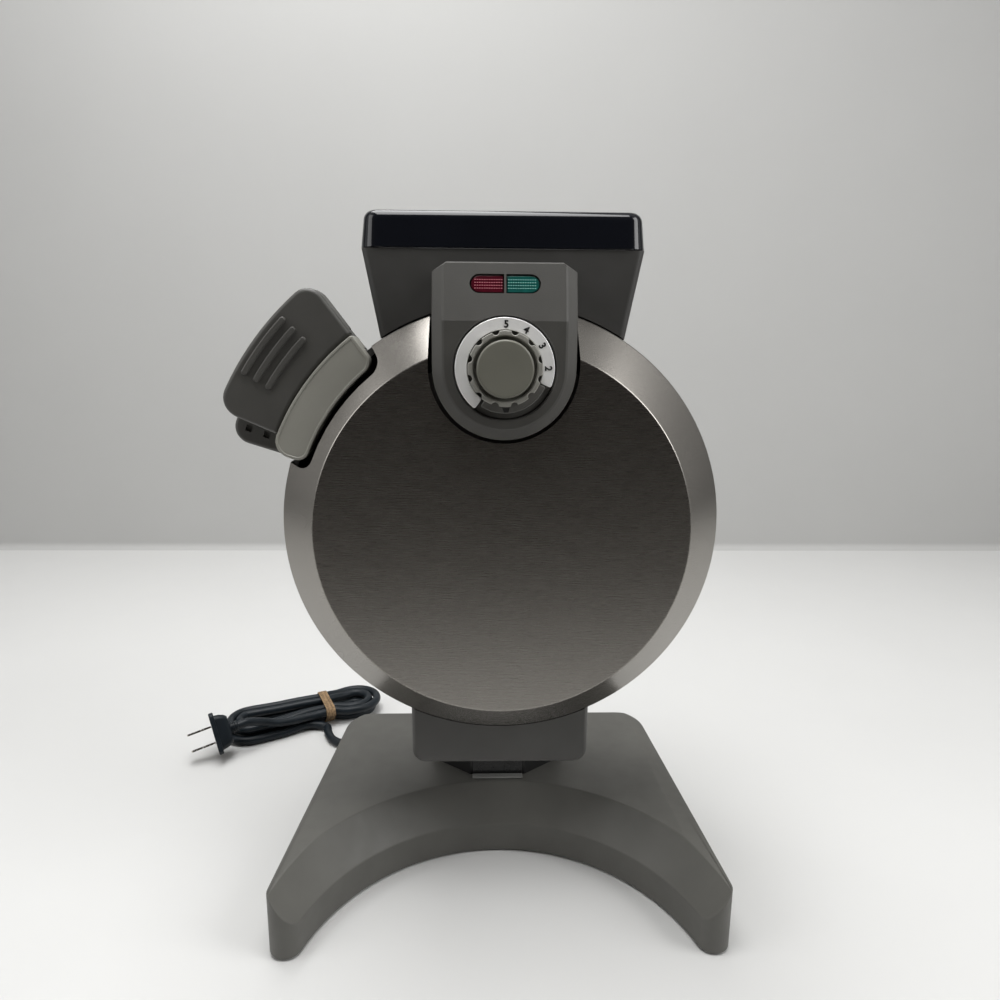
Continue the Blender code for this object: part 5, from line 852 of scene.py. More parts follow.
def housing_levels(back, wall, steps):
    """The housing's solid, or with a wall its cavity, through outlines that follow the facet."""
    rings = [[(x, y, back) for x, y in housing_outline(wall)]]
    deepest = max(inset for inset, fall in steps)
    for inset, fall in steps:
        share = (inset - wall) / (deepest - wall)
        corner = 1 - share * (1 - HOUSING_CORNER_SHARE)
        outline = housing_outline(inset, wall + share * HOUSING_TOP_BEVEL, corner)
        rings.append([(x, y, facet_depth(y) - fall) for x, y in outline])
    return crease(loft(rings, DRUM), len(rings[0]) * len(steps))


def round_well(radius, floor, top, edge):
    """A cutter along the knob's axis with a chamfered mouth."""
    mouth = radius + edge
    return turned([(0, top + OVERRUN), (mouth + OVERRUN, top + OVERRUN), (mouth, top), (radius, top - edge),
                   (radius, floor), (0, floor)], DIAL)


def half_window(side, near, far, half):
    """One side of the window, from beside its divider to its round end."""
    return pill(*span(side, near, far), half, side < 0, side > 0, WINDOW_RISE)


def housing_skin():
    """The control housing, hollow, with its well, its window and the lamp board's posts."""
    item = housing_levels(HOUSING_BACK, 0, soft_chamfer(HOUSING_BEVEL, HOUSING_EDGE))
    edge = HOUSING_BEVEL + (sqrt(2) - 1) * HOUSING_WALL
    cavity = housing_levels(HOUSING_BACK - OVERRUN, HOUSING_WALL,
                            [(HOUSING_WALL, edge), (edge, HOUSING_WALL)])
    cup = bar(-HOUSING_WALL, WELL_DEPTH, WELL_RADIUS + HOUSING_WALL, DIAL)
    back_wall = box((-HOUSING_HALF_WIDTH, HOUSING_BACK_RISE, HOUSING_BACK - 2 * OVERRUN),
                    (HOUSING_HALF_WIDTH, HOUSING_TOP_RISE, HOUSING_BACK + HOUSING_WALL), DRUM)
    cut(item, cut(cavity, cup, back_wall))
    join(item, bar(GAP - BOARD_DROP, -HOUSING_WALL / 2, BOARD_POST_RADIUS, FACET,
                   spots=[(side * BOARD_POST_SPREAD, WINDOW_RISE) for side in (-1, 1)]))
    well = round_well(WELL_RADIUS, 0, WELL_DEPTH, WELL_EDGE)
    sides = [half_window(side, WINDOW_DIVIDER / 2, WINDOW_HALF_WIDTH, WINDOW_HALF_HEIGHT) for side in (-1, 1)]
    return cut(item, well, bar(-OVERRUN, OVERRUN, SHAFT_BORE_RADIUS, DIAL),
               flat(sides, -LENS_SEAT - OVERRUN, OVERRUN, FACET))


def lens_skin(side):
    """Half of the pill-shaped window, with a round edge and a flange behind the facet."""
    def outline(inset):
        drawn = LENS_GAP + inset
        return half_window(side, WINDOW_DIVIDER / 2 + drawn, WINDOW_HALF_WIDTH - drawn,
                           WINDOW_HALF_HEIGHT - drawn)

    face = slab(outline, -LENS_SEAT - GAP, -LENS_RECESS, GAP, LENS_EDGE, FACET)
    flange = half_window(side, GAP, WINDOW_HALF_WIDTH + LENS_FLANGE, WINDOW_HALF_HEIGHT + LENS_FLANGE)
    return gather([face, flat([flange], -LENS_SEAT - LENS_FLANGE_THICKNESS, -LENS_SEAT, FACET)])


def lens_dashes(side):
    """Rows of fine moulded dashes across a lens."""
    dashes = []
    low = -LENS_RECESS - DASH_HEIGHT / 2
    for row in range(DASH_ROWS):
        y = WINDOW_RISE + (row - (DASH_ROWS - 1) / 2) * DASH_ROW_PITCH
        for i in range(DASH_COUNT):
            x = side * (DASH_START + i * DASH_PITCH)
            dashes.append(box((x - DASH_HALF_LENGTH, y - DASH_HALF_WIDTH, low),
                              (x + DASH_HALF_LENGTH, y + DASH_HALF_WIDTH, low + DASH_HEIGHT), FACET))
    return gather(dashes)


# Browning knob

def grip_outline(inset):
    """The grip's outline: round, with a scallop at each flute."""
    points = []
    step = 2 * pi / GRIP_FLUTES
    for i in range(GRIP_POINTS):
        angle = 2 * pi * i / GRIP_POINTS
        offset = (angle - radians(FLUTE_OFFSET_DEG) + step / 2) % step - step / 2
        dip = sqrt(max(0, FLUTE_RADIUS ** 2 - (offset * GRIP_RADIUS) ** 2))
        radius = GRIP_RADIUS - inset - dip * FLUTE_SHARE
        points.append((radius * cos(angle), radius * sin(angle)))
    return points


def knob_grip():
    """The fluted grip ring round the cap."""
    item = slab(grip_outline, FLANGE_TOP - GAP, GRIP_HEIGHT, GAP, GRIP_EDGE, DIAL)
    return cut(item, round_well(GRIP_INNER, CAP_SEAT, GRIP_HEIGHT, GRIP_EDGE))


def knob_flange():
    """The knob's flange and finger tab; the tab's dark grey is painted shade."""
    flange = turned([(0, FLANGE_TOP), (FLANGE_RADIUS, FLANGE_TOP), (FLANGE_RADIUS, GAP), (0, GAP)], DIAL)
    tab = slab(sector(GRIP_INNER, TAB_RADIUS, *TAB_SPAN), FLANGE_TOP - GAP, TAB_HEIGHT, GAP, TAB_EDGE, DIAL)
    return gather([flange, tab])


def knob_pointer():
    """The dark mark on the finger tab."""
    wide, narrow, tall = [size / 2 for size in POINTER_SIZE]
    outline = [(-tall, -wide), (tall, -narrow), (tall, narrow), (-tall, wide)]
    place = DIAL @ turn(POINTER_DEG, "Z") @ move(POINTER_RADIUS, 0, TAB_HEIGHT - GAP)
    return flat([outline], 0, GAP + POINTER_STAND, place)


def number_ring():
    outline = sector(DIAL_RING_INNER, FLANGE_RADIUS, *DIAL_RING_SPAN, steps=DIAL_RING_STEPS)
    return slab(outline, DIAL_RING_LOW, DIAL_RING_HIGH, GAP, DIAL_RING_EDGE, DIAL)


def number_marks():
    """The plain numbers printed on the ring, each upright along its radius."""
    words = []
    for text, turn_deg in DIAL_NUMBERS:
        curve = bpy.data.curves.new("number", "FONT")
        curve.body = text
        curve.size = NUMBER_SIZE
        curve.align_x = "CENTER"
        curve.align_y = "CENTER"
        curve.extrude = NUMBER_THICKNESS
        curve.offset = NUMBER_WEIGHT
        place = DIAL @ turn(-turn_deg, "Z") @ move(0, NUMBER_RADIUS, DIAL_RING_HIGH)
        words.append(meshed(put("number", curve), place))
    return gather(words)


def cap_skin():
    """The knob's cap with a round edge and a very slight dish."""
    low = CAP_SEAT + GAP
    high = low + CAP_HEIGHT
    profile = [(0, high - CAP_DISH), (CAP_RADIUS * CAP_DISH_SHARE, high - CAP_DISH / 2)]
    profile += arc(CAP_RADIUS - CAP_ROUND, high - CAP_ROUND, CAP_ROUND, 90, 0, EDGE_STEPS)
    return turned(profile + [(CAP_RADIUS, low), (0, low)], DIAL)


# Handle and latch

def with_ears(item, place, inner, front):
    """Add a pair of ears for the latch's pin, at a place each side of the handle's middle, and bore them."""
    for side in (-1, 1):
        middle = side * place
        join(item, box((inner, middle - EAR_HALF_THICKNESS, PIVOT_DEPTH - PIVOT_REACH),
                       (PIVOT_RADIUS + PIVOT_REACH, middle + EAR_HALF_THICKNESS, front), HANDLE))
    return cut(item, bar(-PIVOT_BORE_HALF_LENGTH, PIVOT_BORE_HALF_LENGTH, PIVOT_BORE_RADIUS, PIVOT))


def bracket_skin():
    """The door's handle root, with a thin raised border round its face."""
    border = BRACKET_EDGE + BORDER_WIDTH
    item = slab(sector(BRACKET_INNER, BRACKET_OUTER, *BRACKET_SPAN, BRACKET_CORNERS), RING_WALL_DEPTH + GAP,
                BRACKET_DEPTH, BRACKET_EDGE, BRACKET_EDGE, DRUM,
                [(border, 0), (border + BORDER_DROP, BORDER_DROP)])
    web = sector(WEB_INNER, BRACKET_OUTER, BRACKET_SPAN[0], PADDLE_SPAN[1])
    join(item, flat([web(GAP)], WEB_DEPTH, BRACKET_DEPTH - 2 * PADDLE_EDGE, DRUM))
    return with_ears(item, EAR_PLACE, BRACKET_OUTER - PADDLE_EDGE, PIVOT_DEPTH + PIVOT_REACH)


def paddle_skin():
    """The ribbed lever: a shell with soft edges, lugs on the pin and three raised ribs."""
    outline = sector(PADDLE_INNER, PADDLE_OUTER, *PADDLE_SPAN, PADDLE_CORNERS)
    item = slab(outline, PADDLE_BACK, PADDLE_FRONT, PADDLE_BACK_EDGE, PADDLE_SOFT_EDGE, DRUM)
    ceiling = PADDLE_FRONT - PADDLE_WALL
    low = PADDLE_BACK - OVERRUN
    mouth = sector(PADDLE_INNER - OVERRUN, PADDLE_INNER + PADDLE_WALL + SHEET / 2,
                   PADDLE_SPAN[0] - NOTCH_SIDE_DEG, PADDLE_SPAN[1] + NOTCH_SIDE_DEG, steps=NOTCH_STEPS)
    cut(item, flat([outline(PADDLE_WALL)], low, ceiling, DRUM),
        flat([mouth(0)], low, PIVOT_DEPTH + PIVOT_REACH + GAP, DRUM))
    with_ears(item, LUG_PLACE, PIVOT_RADIUS - PIVOT_REACH, ceiling + PADDLE_WALL / 2)
    pieces = [item]
    for radius in RIB_RADII:
        rib = sector(radius - RIB_HALF_WIDTH, radius + RIB_HALF_WIDTH, *RIB_SPAN, RIB_CORNERS, RIB_STEPS)
        pieces.append(slab(rib, PADDLE_FRONT - GAP, PADDLE_FRONT + RIB_HEIGHT, MERGE, RIB_EDGE, DRUM))
    return gather(pieces)


rear_handle_outline = sector(DISC_RADIUS + GAP, REAR_HANDLE_OUTER, *REAR_HANDLE_SPAN, REAR_HANDLE_CORNERS)


def rear_handle_skin():
    """The fixed half of the handle, hollow behind, with the hook's slot and two small pockets."""
    front = REAR_HANDLE_FRONT
    item = slab(rear_handle_outline, REAR_HANDLE_BACK, front, GAP, PADDLE_SOFT_EDGE, DRUM)
    cavity = flat([rear_handle_outline(REAR_HANDLE_WALL)], REAR_HANDLE_BACK - OVERRUN,
                  front - REAR_HANDLE_WALL, DRUM)
    relief = bar(-PARTING_GAP, front + OVERRUN, DISC_RADIUS + RUNNING_GAP, DRUM, ROUND_STEPS)
    slot = box((HOOK_SLOT[0], -HOOK_SLOT_HALF_WIDTH, front - REAR_HANDLE_WALL - SHEET),
               (HOOK_SLOT[1], HOOK_SLOT_HALF_WIDTH, front + SHEET), HANDLE)
    pockets = [box((radius, -POCKET_SIDE / 2, front - POCKET_INSET),
                   (radius + POCKET_SIDE, POCKET_SIDE / 2, front + SHEET), DRUM @ turn(POCKET_DEG, "Z"))
               for radius in POCKET_RADII]
    return cut(item, cavity, relief, slot, *pockets)


def rear_cover_skin():
    high = REAR_HANDLE_BACK - GAP
    return slab(rear_handle_outline, high - REAR_COVER, high, REAR_COVER_EDGE, GAP, DRUM)


# Spout

def spout_ring(inset, rise):
    """The spout's plan at a height; its sides flare upwards."""
    share = (rise - SPOUT_BOTTOM_RISE) / (SPOUT_TOP_RISE - SPOUT_BOTTOM_RISE)
    half = SPOUT_BOTTOM_HALF_WIDTH + share * (SPOUT_TOP_HALF_WIDTH - SPOUT_BOTTOM_HALF_WIDTH) - inset
    outline = rounded_box(half, SPOUT_FRONT_Y + inset, SPOUT_BACK_Y - inset, max(SPOUT_EDGE - inset, GAP))
    return [(x, y, rise) for x, y in outline]


def spout_skin():
    item = loft([spout_ring(0, SPOUT_BOTTOM_RISE), spout_ring(0, SPOUT_TOP_RISE)], PLAN)
    bore = loft([spout_ring(SPOUT_WALL, SPOUT_BOTTOM_RISE - OVERRUN),
                 spout_ring(SPOUT_WALL, SPOUT_TOP_RISE + OVERRUN)], PLAN)
    return cut(item, bore, drum_envelope(DRUM, RUNNING_GAP), drum_envelope(REAR, GAP))


def rim_skin():
    """The glossy frame round the spout's mouth, round inside and outside its top edge."""
    def outline(inset):
        drawn = inset - FRAME_OVERHANG
        return rounded_box(SPOUT_TOP_HALF_WIDTH - drawn, SPOUT_FRONT_Y + drawn, SPOUT_BACK_Y - drawn,
                           FRAME_CORNER - inset)

    low = SPOUT_TOP_RISE + GAP
    high = low + FRAME_HEIGHT
    levels = [(FRAME_FOOT, low), (0, low + FRAME_FOOT)]
    levels += [(FRAME_DRAFT + inset, high - back) for inset, back in eased(FRAME_EDGE, 2 * EDGE_STEPS)]
    item = layered(outline, levels, PLAN)
    levels = [(FRAME_WALL, low - OVERRUN)]
    levels += [(FRAME_WALL - inset, high - back) for inset, back in eased(FRAME_LIP)[:-1]]
    levels.append((FRAME_WALL - FRAME_LIP, high + OVERRUN))
    return cut(item, layered(outline, levels, PLAN))


def chute_rings(inset, overrun):
    """The funnel's outside, or drawn in and lifted by its wall, its bore."""
    throat = rounded_box(THROAT_HALF_WIDTH - inset, inset - THROAT_HALF_DEPTH, THROAT_HALF_DEPTH - inset,
                         CHUTE_CORNER - inset)
    wide = [spot[:2] for spot in spout_ring(SPOUT_WALL + GAP + inset, CHUTE_TOP_RISE)]
    top = CHUTE_TOP_RISE + inset
    levels = [(throat, THROAT_BOTTOM_RISE - overrun), (throat, THROAT_RISE + inset), (wide, top)]
    if overrun:
        levels.append((wide, top + overrun))
    return [[(x, y, rise) for x, y in outline] for outline, rise in levels]


def chute_skin():
    return cut(loft(chute_rings(0, 0), PLAN), loft(chute_rings(CHUTE_WALL, OVERRUN), PLAN))


# Neck and hinge

def cover_outline(inset):
    """The neck block from the front, with round lower corners."""
    half = COVER_HALF_WIDTH - inset
    height = COVER_CORNER - COVER_DROP
    return (arc(-COVER_SIDE, height, COVER_CORNER - inset, 180, 270)
            + arc(COVER_SIDE, height, COVER_CORNER - inset, 270, 360)
            + [(half, -FACE_RADIUS), (-half, -FACE_RADIUS)])


def cover_skin():
    """The neck block: a narrow chamfer with soft edges round its front."""
    levels = [(0, COVER_BACK_DEPTH)]
    levels += [(inset, RIM_DEPTH - back) for inset, back in soft_chamfer(COVER_EDGE, COVER_SOFT)]
    inner = COVER_HALF_WIDTH - COVER_WALL
    floor = COVER_WALL - COVER_DROP
    top = OVERRUN - FACE_RADIUS
    low = COVER_BACK_DEPTH - OVERRUN
    hollow = flat([[(-inner, floor), (inner, floor), (inner, top), (-inner, top)]], low,
                  RIM_DEPTH - COVER_WALL, DRUM)
    relief = box((-COVER_SIDE, -COVER_DROP - OVERRUN, low), (COVER_SIDE, floor + OVERRUN, COVER_FLOOR_DEPTH),
                 DRUM)
    drum = bar(-OVERRUN, RIM_DEPTH + OVERRUN, DISC_RADIUS + GAP, DRUM, ROUND_STEPS)
    return cut(layered(cover_outline, levels, DRUM), hollow, relief, drum)


def strap_skin():
    """The bent steel plate with its two ears."""
    back = STRAP_Y + STRAP_THICKNESS
    top = HINGE_HEIGHT + EAR_BOSS_RADIUS
    item = box((-STRAP_HALF_WIDTH, STRAP_Y, STAND_FOOT), (STRAP_HALF_WIDTH, back, top), NECK, STRAP_EDGE)
    for side in (-1, 1):
        low, high = span(side, STRAP_HALF_WIDTH - STRAP_THICKNESS, STRAP_HALF_WIDTH)
        ear = box((low, 0, HINGE_HEIGHT - EAR_BOSS_RADIUS), (high, back - STRAP_THICKNESS / 2, top), NECK)
        join(item, ear, bar(low, high, EAR_BOSS_RADIUS, HINGE))
    return cut(item, bar(-PIN_HALF_LENGTH, PIN_HALF_LENGTH, PIN_BORE_RADIUS, HINGE))


def strap_foot_skin():
    """The plate's foot strip, in a lighter copy of the plate's steel: painted light on its upward face."""
    return box((-STRAP_HALF_WIDTH, STRAP_Y - STRAP_FOOT, STAND_FOOT),
               (STRAP_HALF_WIDTH, STRAP_Y + STRAP_EDGE, STAND_FOOT + STRAP_THICKNESS), NECK, STRAP_EDGE)


def column_skin():
    item = flat([drawn_in(COLUMN_CORNERS, 0)], STAND_FOOT, COLUMN_TOP, NECK)
    hollow = flat([drawn_in(COLUMN_CORNERS, COLUMN_WALL)], STAND_FOOT - OVERRUN, COLUMN_TOP + OVERRUN, NECK)
    return cut(item, hollow, drum_envelope(REAR, GAP))


# Base

def base_outline(inset):
    """The base's plan: round the bay, the leg tip, along the side and the back corner."""
    corner = (TIP_X - CORNER_INSET, BACK_Y - CORNER_RADIUS)
    run = Vector(corner) - Vector((TIP_X, TIP_Y))
    normal = degrees(atan2(run.y, run.x) - acos((TIP_RADIUS - CORNER_RADIUS) / run.length))
    points = arc(0, BAY_Y, BAY_RADIUS + inset, 90, TIP_TURN_DEG, BAY_STEPS)
    points += arc(TIP_X, TIP_Y, TIP_RADIUS - inset, TIP_TURN_DEG + 180, 360 + normal, 2 * CORNER_STEPS)[1:]
    points += arc(*corner, CORNER_RADIUS - inset, normal, 90)
    points.append((0, BACK_Y - inset))
    return points + [(-x, y) for x, y in reversed(points) if abs(x) > MERGE]


def base_block(inset, bottom):
    """The base's solid, or drawn in its cavity: the plan, the bay's slanted band and the side chamfers."""
    item = flat([base_outline(inset)], bottom, PLATEAU - inset, Matrix())
    slope = (BAY_TOP_RADIUS - BAY_RADIUS) / (PLATEAU - BAND_HEIGHT)
    shift = inset * hypot(1, slope)
    cutters = [bar(BAND_HEIGHT - OVERRUN, PLATEAU + OVERRUN, BAY_RADIUS + shift - OVERRUN * slope,
                   move(0, BAY_Y, 0), ROUND_STEPS, BAY_TOP_RADIUS + shift + OVERRUN * slope)]
    for side in (-1, 1):
        place = (move(side * (TIP_X - CHAMFER_INSET), 0, PLATEAU) @ turn(side * CHAMFER_TURN_DEG, "Z")
                 @ turn(side * degrees(atan(CHAMFER_SLOPE)), "Y") @ move(0, 0, -inset))
        low, high = span(side, -OVERRUN, PLATEAU)
        cutters.append(box((low, 2 * BAY_Y, 0), (high, 2 * BACK_Y, PLATEAU), place))
    return cut(item, *cutters)


def base_skin():
    """The hollow base with small rounds on its ridges, screw bosses and the strain relief's hole."""
    item = base_block(0, BASE_BOTTOM)
    modifier = item.modifiers.new("ridges", "BEVEL")
    modifier.width = BASE_RIDGE
    modifier.segments = BASE_RIDGE_STEPS
    modifier.limit_method = "ANGLE"
    modifier.angle_limit = radians(BASE_RIDGE_DEG)
    modifier.use_clamp_overlap = False
    cut(settle(item), base_block(BASE_WALL, BASE_BOTTOM - OVERRUN))
    spots = [(side * (TIP_X - x), BACK_Y - y) for x, y in BOSS_INSETS for side in (-1, 1)]
    join(item, bar(BOSS_SEAT, PLATEAU - BASE_WALL / 2, BOSS_RADIUS, Matrix(), spots=spots))
    holes = bar(BOSS_SEAT - OVERRUN, BOSS_SEAT + BASE_SCREW_LENGTH, SCREW_HOLE_RADIUS, Matrix(), spots=spots)
    return cut(item, holes, bar(-BASE_WALL - OVERRUN, OVERRUN, GLAND_BORE_RADIUS, GLAND))


# Cord

def gland_skin():
    """The strain relief: a tapered boot with round grooves, and its flange."""
    profile = [(0, GLAND_LENGTH), (GLAND_TIP_RADIUS - GLAND_ROUND, GLAND_LENGTH),
               (GLAND_TIP_RADIUS, GLAND_LENGTH - GLAND_ROUND)]
    run = GLAND_LENGTH - GLAND_FLANGE
    width = run / GLAND_RIBS * GLAND_GROOVE_SHARE
    for i in range(GLAND_RIBS):
        share = (i + 0.5) / GLAND_RIBS
        radius = GLAND_TIP_RADIUS + (GLAND_ROOT_RADIUS - GLAND_TIP_RADIUS) * share
        profile += [(radius - GLAND_GROOVE * s, GLAND_LENGTH - run * share + width * c)
                    for c, s in arc(0, 0, 1, 0, 180, EDGE_STEPS)]
    inside = -BASE_WALL - GLAND_FLANGE
    profile += [(GLAND_ROOT_RADIUS, GLAND_FLANGE), (GLAND_FLANGE_RADIUS - GLAND_ROUND, GLAND_FLANGE),
                (GLAND_FLANGE_RADIUS, GLAND_FLANGE - GLAND_ROUND), (GLAND_FLANGE_RADIUS, GAP),
                (GLAND_SLEEVE_RADIUS, GAP), (GLAND_SLEEVE_RADIUS, inside), (0, inside)]
    return turned(profile, GLAND, steps=FINE_STEPS)


def smooth_route(route, pieces):
    """Points on a smooth curve through a route's own points, between its two straight ends."""
    places = [Vector(place) for place in route]
    points = [places[0]]
    for before, start, end, after in zip(places, places[1:], places[2:], places[3:]):
        for i in range(pieces):
            t = i / pieces
            square = 2 * before - 5 * start + 4 * end - after
            cube = 3 * start - before - 3 * end + after
            points.append((2 * start + t * (end - before) + t ** 2 * square + t ** 3 * cube) / 2)
    return points + places[-2:]


def lobe(side, run, half, first):
    """Places and outward directions: out along one side of the waist, round the end and back."""
    def along(reach, bank):
        share = reach / run
        rise = (half - WAIST_HALF) * share ** 2 * (3 - 2 * share)
        slope = 6 * share * (1 - share) * (half - WAIST_HALF) / run
        return Vector((side * reach, bank * (WAIST_HALF + rise))), Vector((-side * slope, bank)).normalized()

    reaches = [run * i / RUN_POINTS for i in range(RUN_POINTS)]
    places = [along(reach, first) for reach in reaches]
    for i in range(LOBE_POINTS):
        angle = pi * i / LOBE_POINTS
        outwards = Vector((side * sin(angle), first * cos(angle)))
        places.append((Vector((side * run, 0)) + half * outwards, outwards))
    return places + [along(run - reach, -first) for reach in reaches]


def hank_route():
    """The hank's loops: they spiral in below, climb along a run, and spiral out above."""
    loop = lobe(-1, LEFT_RUN, LEFT_LOBE, -1) + lobe(1, RIGHT_RUN, RIGHT_LOBE, 1)
    points = []
    for i in range(HANK_END_POINT, HANK_LOOPS * len(loop) + HANK_END_POINT + 1):
        place, outwards = loop[i % len(loop)]
        turns = i / len(loop) - HANK_LOOPS / 2
        spot = place + abs(turns) * LOOP_PITCH * outwards
        climb = min(max(turns / CLIMB_TURNS + 0.5, 0), 1)
        from_waist = min(i % (len(loop) // 2), -i % (len(loop) // 2))
        lift = TIE_LIFT if from_waist < 2 else 0
        points.append(HANK @ Vector((*spot, LAYER_HEIGHT + LAYER_PITCH * climb + lift)))
    return points


def power_cord():
    """The whole cord, from the strain relief through the hank to the plug, as one curve."""
    tip = GLAND @ Vector((0, 0, GLAND_LENGTH))
    back = PLUG.translation
    outwards = (PLUG @ Vector((0, 0, -1)) - back).normalized()
    straight = GAP + 2 * CORD_RADIUS
    route = [tip + Vector((0, GAP, 0)), tip + Vector((0, straight, 0))] + LEAD_ROUTE + hank_route()
    route += [HANK @ Vector(place) for place in TAIL_ROUTE]
    route += [back + straight * outwards, back + GAP * outwards]
    return curve_through([smooth_route(route, CORD_PIECES)], False, dimensions="3D", bevel_depth=CORD_RADIUS,
                         bevel_resolution=CORD_ROUNDNESS, use_fill_caps=True)


def wrapped(corners, radius):
    """An outline round bars of one radius that stand at some corners, given anticlockwise."""
    points = []
    for i, corner in enumerate(corners):
        arriving = Vector(corner) - Vector(corners[i - 1])
        leaving = Vector(corners[(i + 1) % len(corners)]) - Vector(corner)
        start = degrees(atan2(arriving.y, arriving.x)) - 90
        points += arc(*corner, radius, start, start + degrees(-arriving.angle_signed(leaving)) % 360)
    return points


def elastic_tie():
    """The elastic band: strands wound side by side round the hank's waist."""
    low = LAYER_HEIGHT + TIE_LIFT
    high = low + LAYER_PITCH
    near = -WAIST_HALF - LOOP_PITCH * HANK_LOOPS / 2
    far = WAIST_HALF + LOOP_PITCH * (HANK_LOOPS / 2 - 0.5)
    outline = wrapped([(near + LOOP_PITCH, low), (far, low), (far, high), (near, high)],
                      CORD_RADIUS + CORD_CLEARANCE + STRAND_RADIUS)
    around = HANK @ Matrix(((0, 0, 1, 0), (1, 0, 0, 0), (0, 1, 0, 0), (0, 0, 0, 1)))
    strands = []
    for i in range(STRAND_COUNT):
        middle = ((i + 0.5) / STRAND_COUNT - 0.5) * TIE_WIDTH
        points = []
        for k, (x, y) in enumerate(outline):
            wander = STRAND_WANDER * sin(STRAND_WAVES * 2 * pi * k / len(outline) + STRAND_PHASE * i)
            points.append((x, y, middle + wander))
        strands.append(meshed(curve_through([points], True, dimensions="3D", bevel_depth=STRAND_RADIUS,
                                            bevel_resolution=STRAND_ROUNDNESS), around))
    return gather(strands)


def plug_outline(size, inset):
    width, tall = [side / 2 - inset for side in size]
    return rounded_box(width, -tall, tall, PLUG_CORNER - inset)


def plug_skin():
    """The moulded plug: a grooved boot, a swelling body and a soft-edged flange."""
    rings = []
    for share, inset, height in PLUG_LEVELS:
        size = [a + (b - a) * share for a, b in zip(PLUG_BACK_SIZE, PLUG_NECK_SIZE)]
        rings.append([(x, y, height) for x, y in plug_outline(size, inset)])
    profile = [(0, -MERGE), (BOOT_TIP_RADIUS, 0)]
    for radius, height in BOOT_GROOVES:
        profile += [(radius + out, height + up) for out, up in BOOT_GROOVE_EDGE]
    profile += [(BOOT_RADIUS, BOOT_LENGTH), (BOOT_RADIUS, BOOT_LENGTH + SHEET), (0, BOOT_LENGTH + SHEET)]
    boot = turned(profile[::-1], PLUG, steps=FINE_STEPS)
    flange = slab(lambda inset: plug_outline(PLUG_FLANGE_SIZE, inset), PLUG_FLANGE_LOW, PLUG_LENGTH,
                  PLUG_EDGE, PLUG_EDGE, PLUG)
    return gather([loft(rings, PLUG), boot, flange])


def blade_skin(side):
    """A folded brass blade with round corners at its tip and a round hole."""
    place = PLUG @ move(0, side * BLADE_SPREAD, PLUG_LENGTH + GAP) @ turn(90, "X")
    x = BLADE_HALF_WIDTH - BLADE_CORNER
    y = BLADE_LENGTH - BLADE_CORNER
    outline = [(-BLADE_HALF_WIDTH, 0), (BLADE_HALF_WIDTH, 0)] + arc(x, y, BLADE_CORNER, 0, 90, BLADE_STEPS)
    outline += arc(-x, y, BLADE_CORNER, 90, 180, BLADE_STEPS)
    hole = arc(0, BLADE_HOLE_RISE, BLADE_HOLE_RADIUS, 0, 360, 2 * CORNER_STEPS)[:-1]
    return flat([outline, hole], -BLADE_THICKNESS / 2, BLADE_THICKNESS / 2, place)


# Materials: their coordinates are metres in the solids' own frame

def feed(tree, node, **inputs):
    """Set a node's inputs, or link them where the value is a socket; _ stands for a space in their names."""
    for name, value in inputs.items():
        socket = node.inputs[name.replace("_", " ")]
        if isinstance(value, bpy.types.NodeSocket):
            tree.links.new(value, socket)
        else:
            socket.default_value = value


def add_node(tree, kind, output, **inputs):
    """One of a new node's outputs."""
    node = tree.nodes.new("ShaderNode" + kind)
    feed(tree, node, **inputs)
    return node.outputs[output]


def noise(tree, scale, detail, stretch):
    """The value of a noise whose features are about 1 / scale metres, finer where it isn't stretched."""
    coordinates = add_node(tree, "TexCoord", "Object")
    place = add_node(tree, "Mapping", "Vector", Scale=stretch, Vector=coordinates)
    return add_node(tree, "TexNoise", "Fac", Scale=scale, Detail=detail, Vector=place)


def remap(tree, value, low, high, from_low=0.3, from_high=0.7):
    return add_node(tree, "MapRange", "Result", From_Min=from_low, From_Max=from_high, To_Min=low,
                    To_Max=high, Value=value)


def blend_colours(tree, factor, first, second):
    node = tree.nodes.new("ShaderNodeMix")
    node.data_type = "RGBA"
    colours = [socket for socket in node.inputs if socket.type == "RGBA"]
    for socket, colour in zip(colours, (first, second)):
        if isinstance(colour, bpy.types.NodeSocket):
            tree.links.new(colour, socket)
        else:
            socket.default_value = (*colour, 1)
    tree.links.new(factor, node.inputs[0])
    return [socket for socket in node.outputs if socket.type == "RGBA"][0]


def surface(name, colour, roughness, grain, grain_height, metallic=0.0, mottle=0.08, mottle_scale=35.0,
            spread=0.05, stretch=(1, 1, 1), coat=0.0, specular=0.5):
    """A material with mottled colour, uneven gloss and a fine bump."""
    made = bpy.data.materials.new(name)
    made.use_nodes = True
    tree = made.node_tree
    patches = remap(tree, noise(tree, mottle_scale, PATCH_DETAIL, stretch), 0, 1)
    gloss = noise(tree, mottle_scale * GLOSS_SCALE, GLOSS_DETAIL, stretch)
    bumps = noise(tree, grain, GRAIN_DETAIL, stretch)
    dark = [c * (1 - mottle) for c in colour]
    light = [min(1, c * (1 + mottle)) for c in colour]
    feed(tree, tree.nodes["Principled BSDF"], Metallic=metallic, Specular_IOR_Level=specular,
         Coat_Weight=coat, Coat_Roughness=COAT_ROUGHNESS,
         Base_Color=blend_colours(tree, patches, dark, light),
         Roughness=remap(tree, gloss, roughness - spread, roughness + spread),
         Normal=add_node(tree, "Bump", "Normal", Distance=grain_height, Strength=1.0, Height=bumps))
    return made


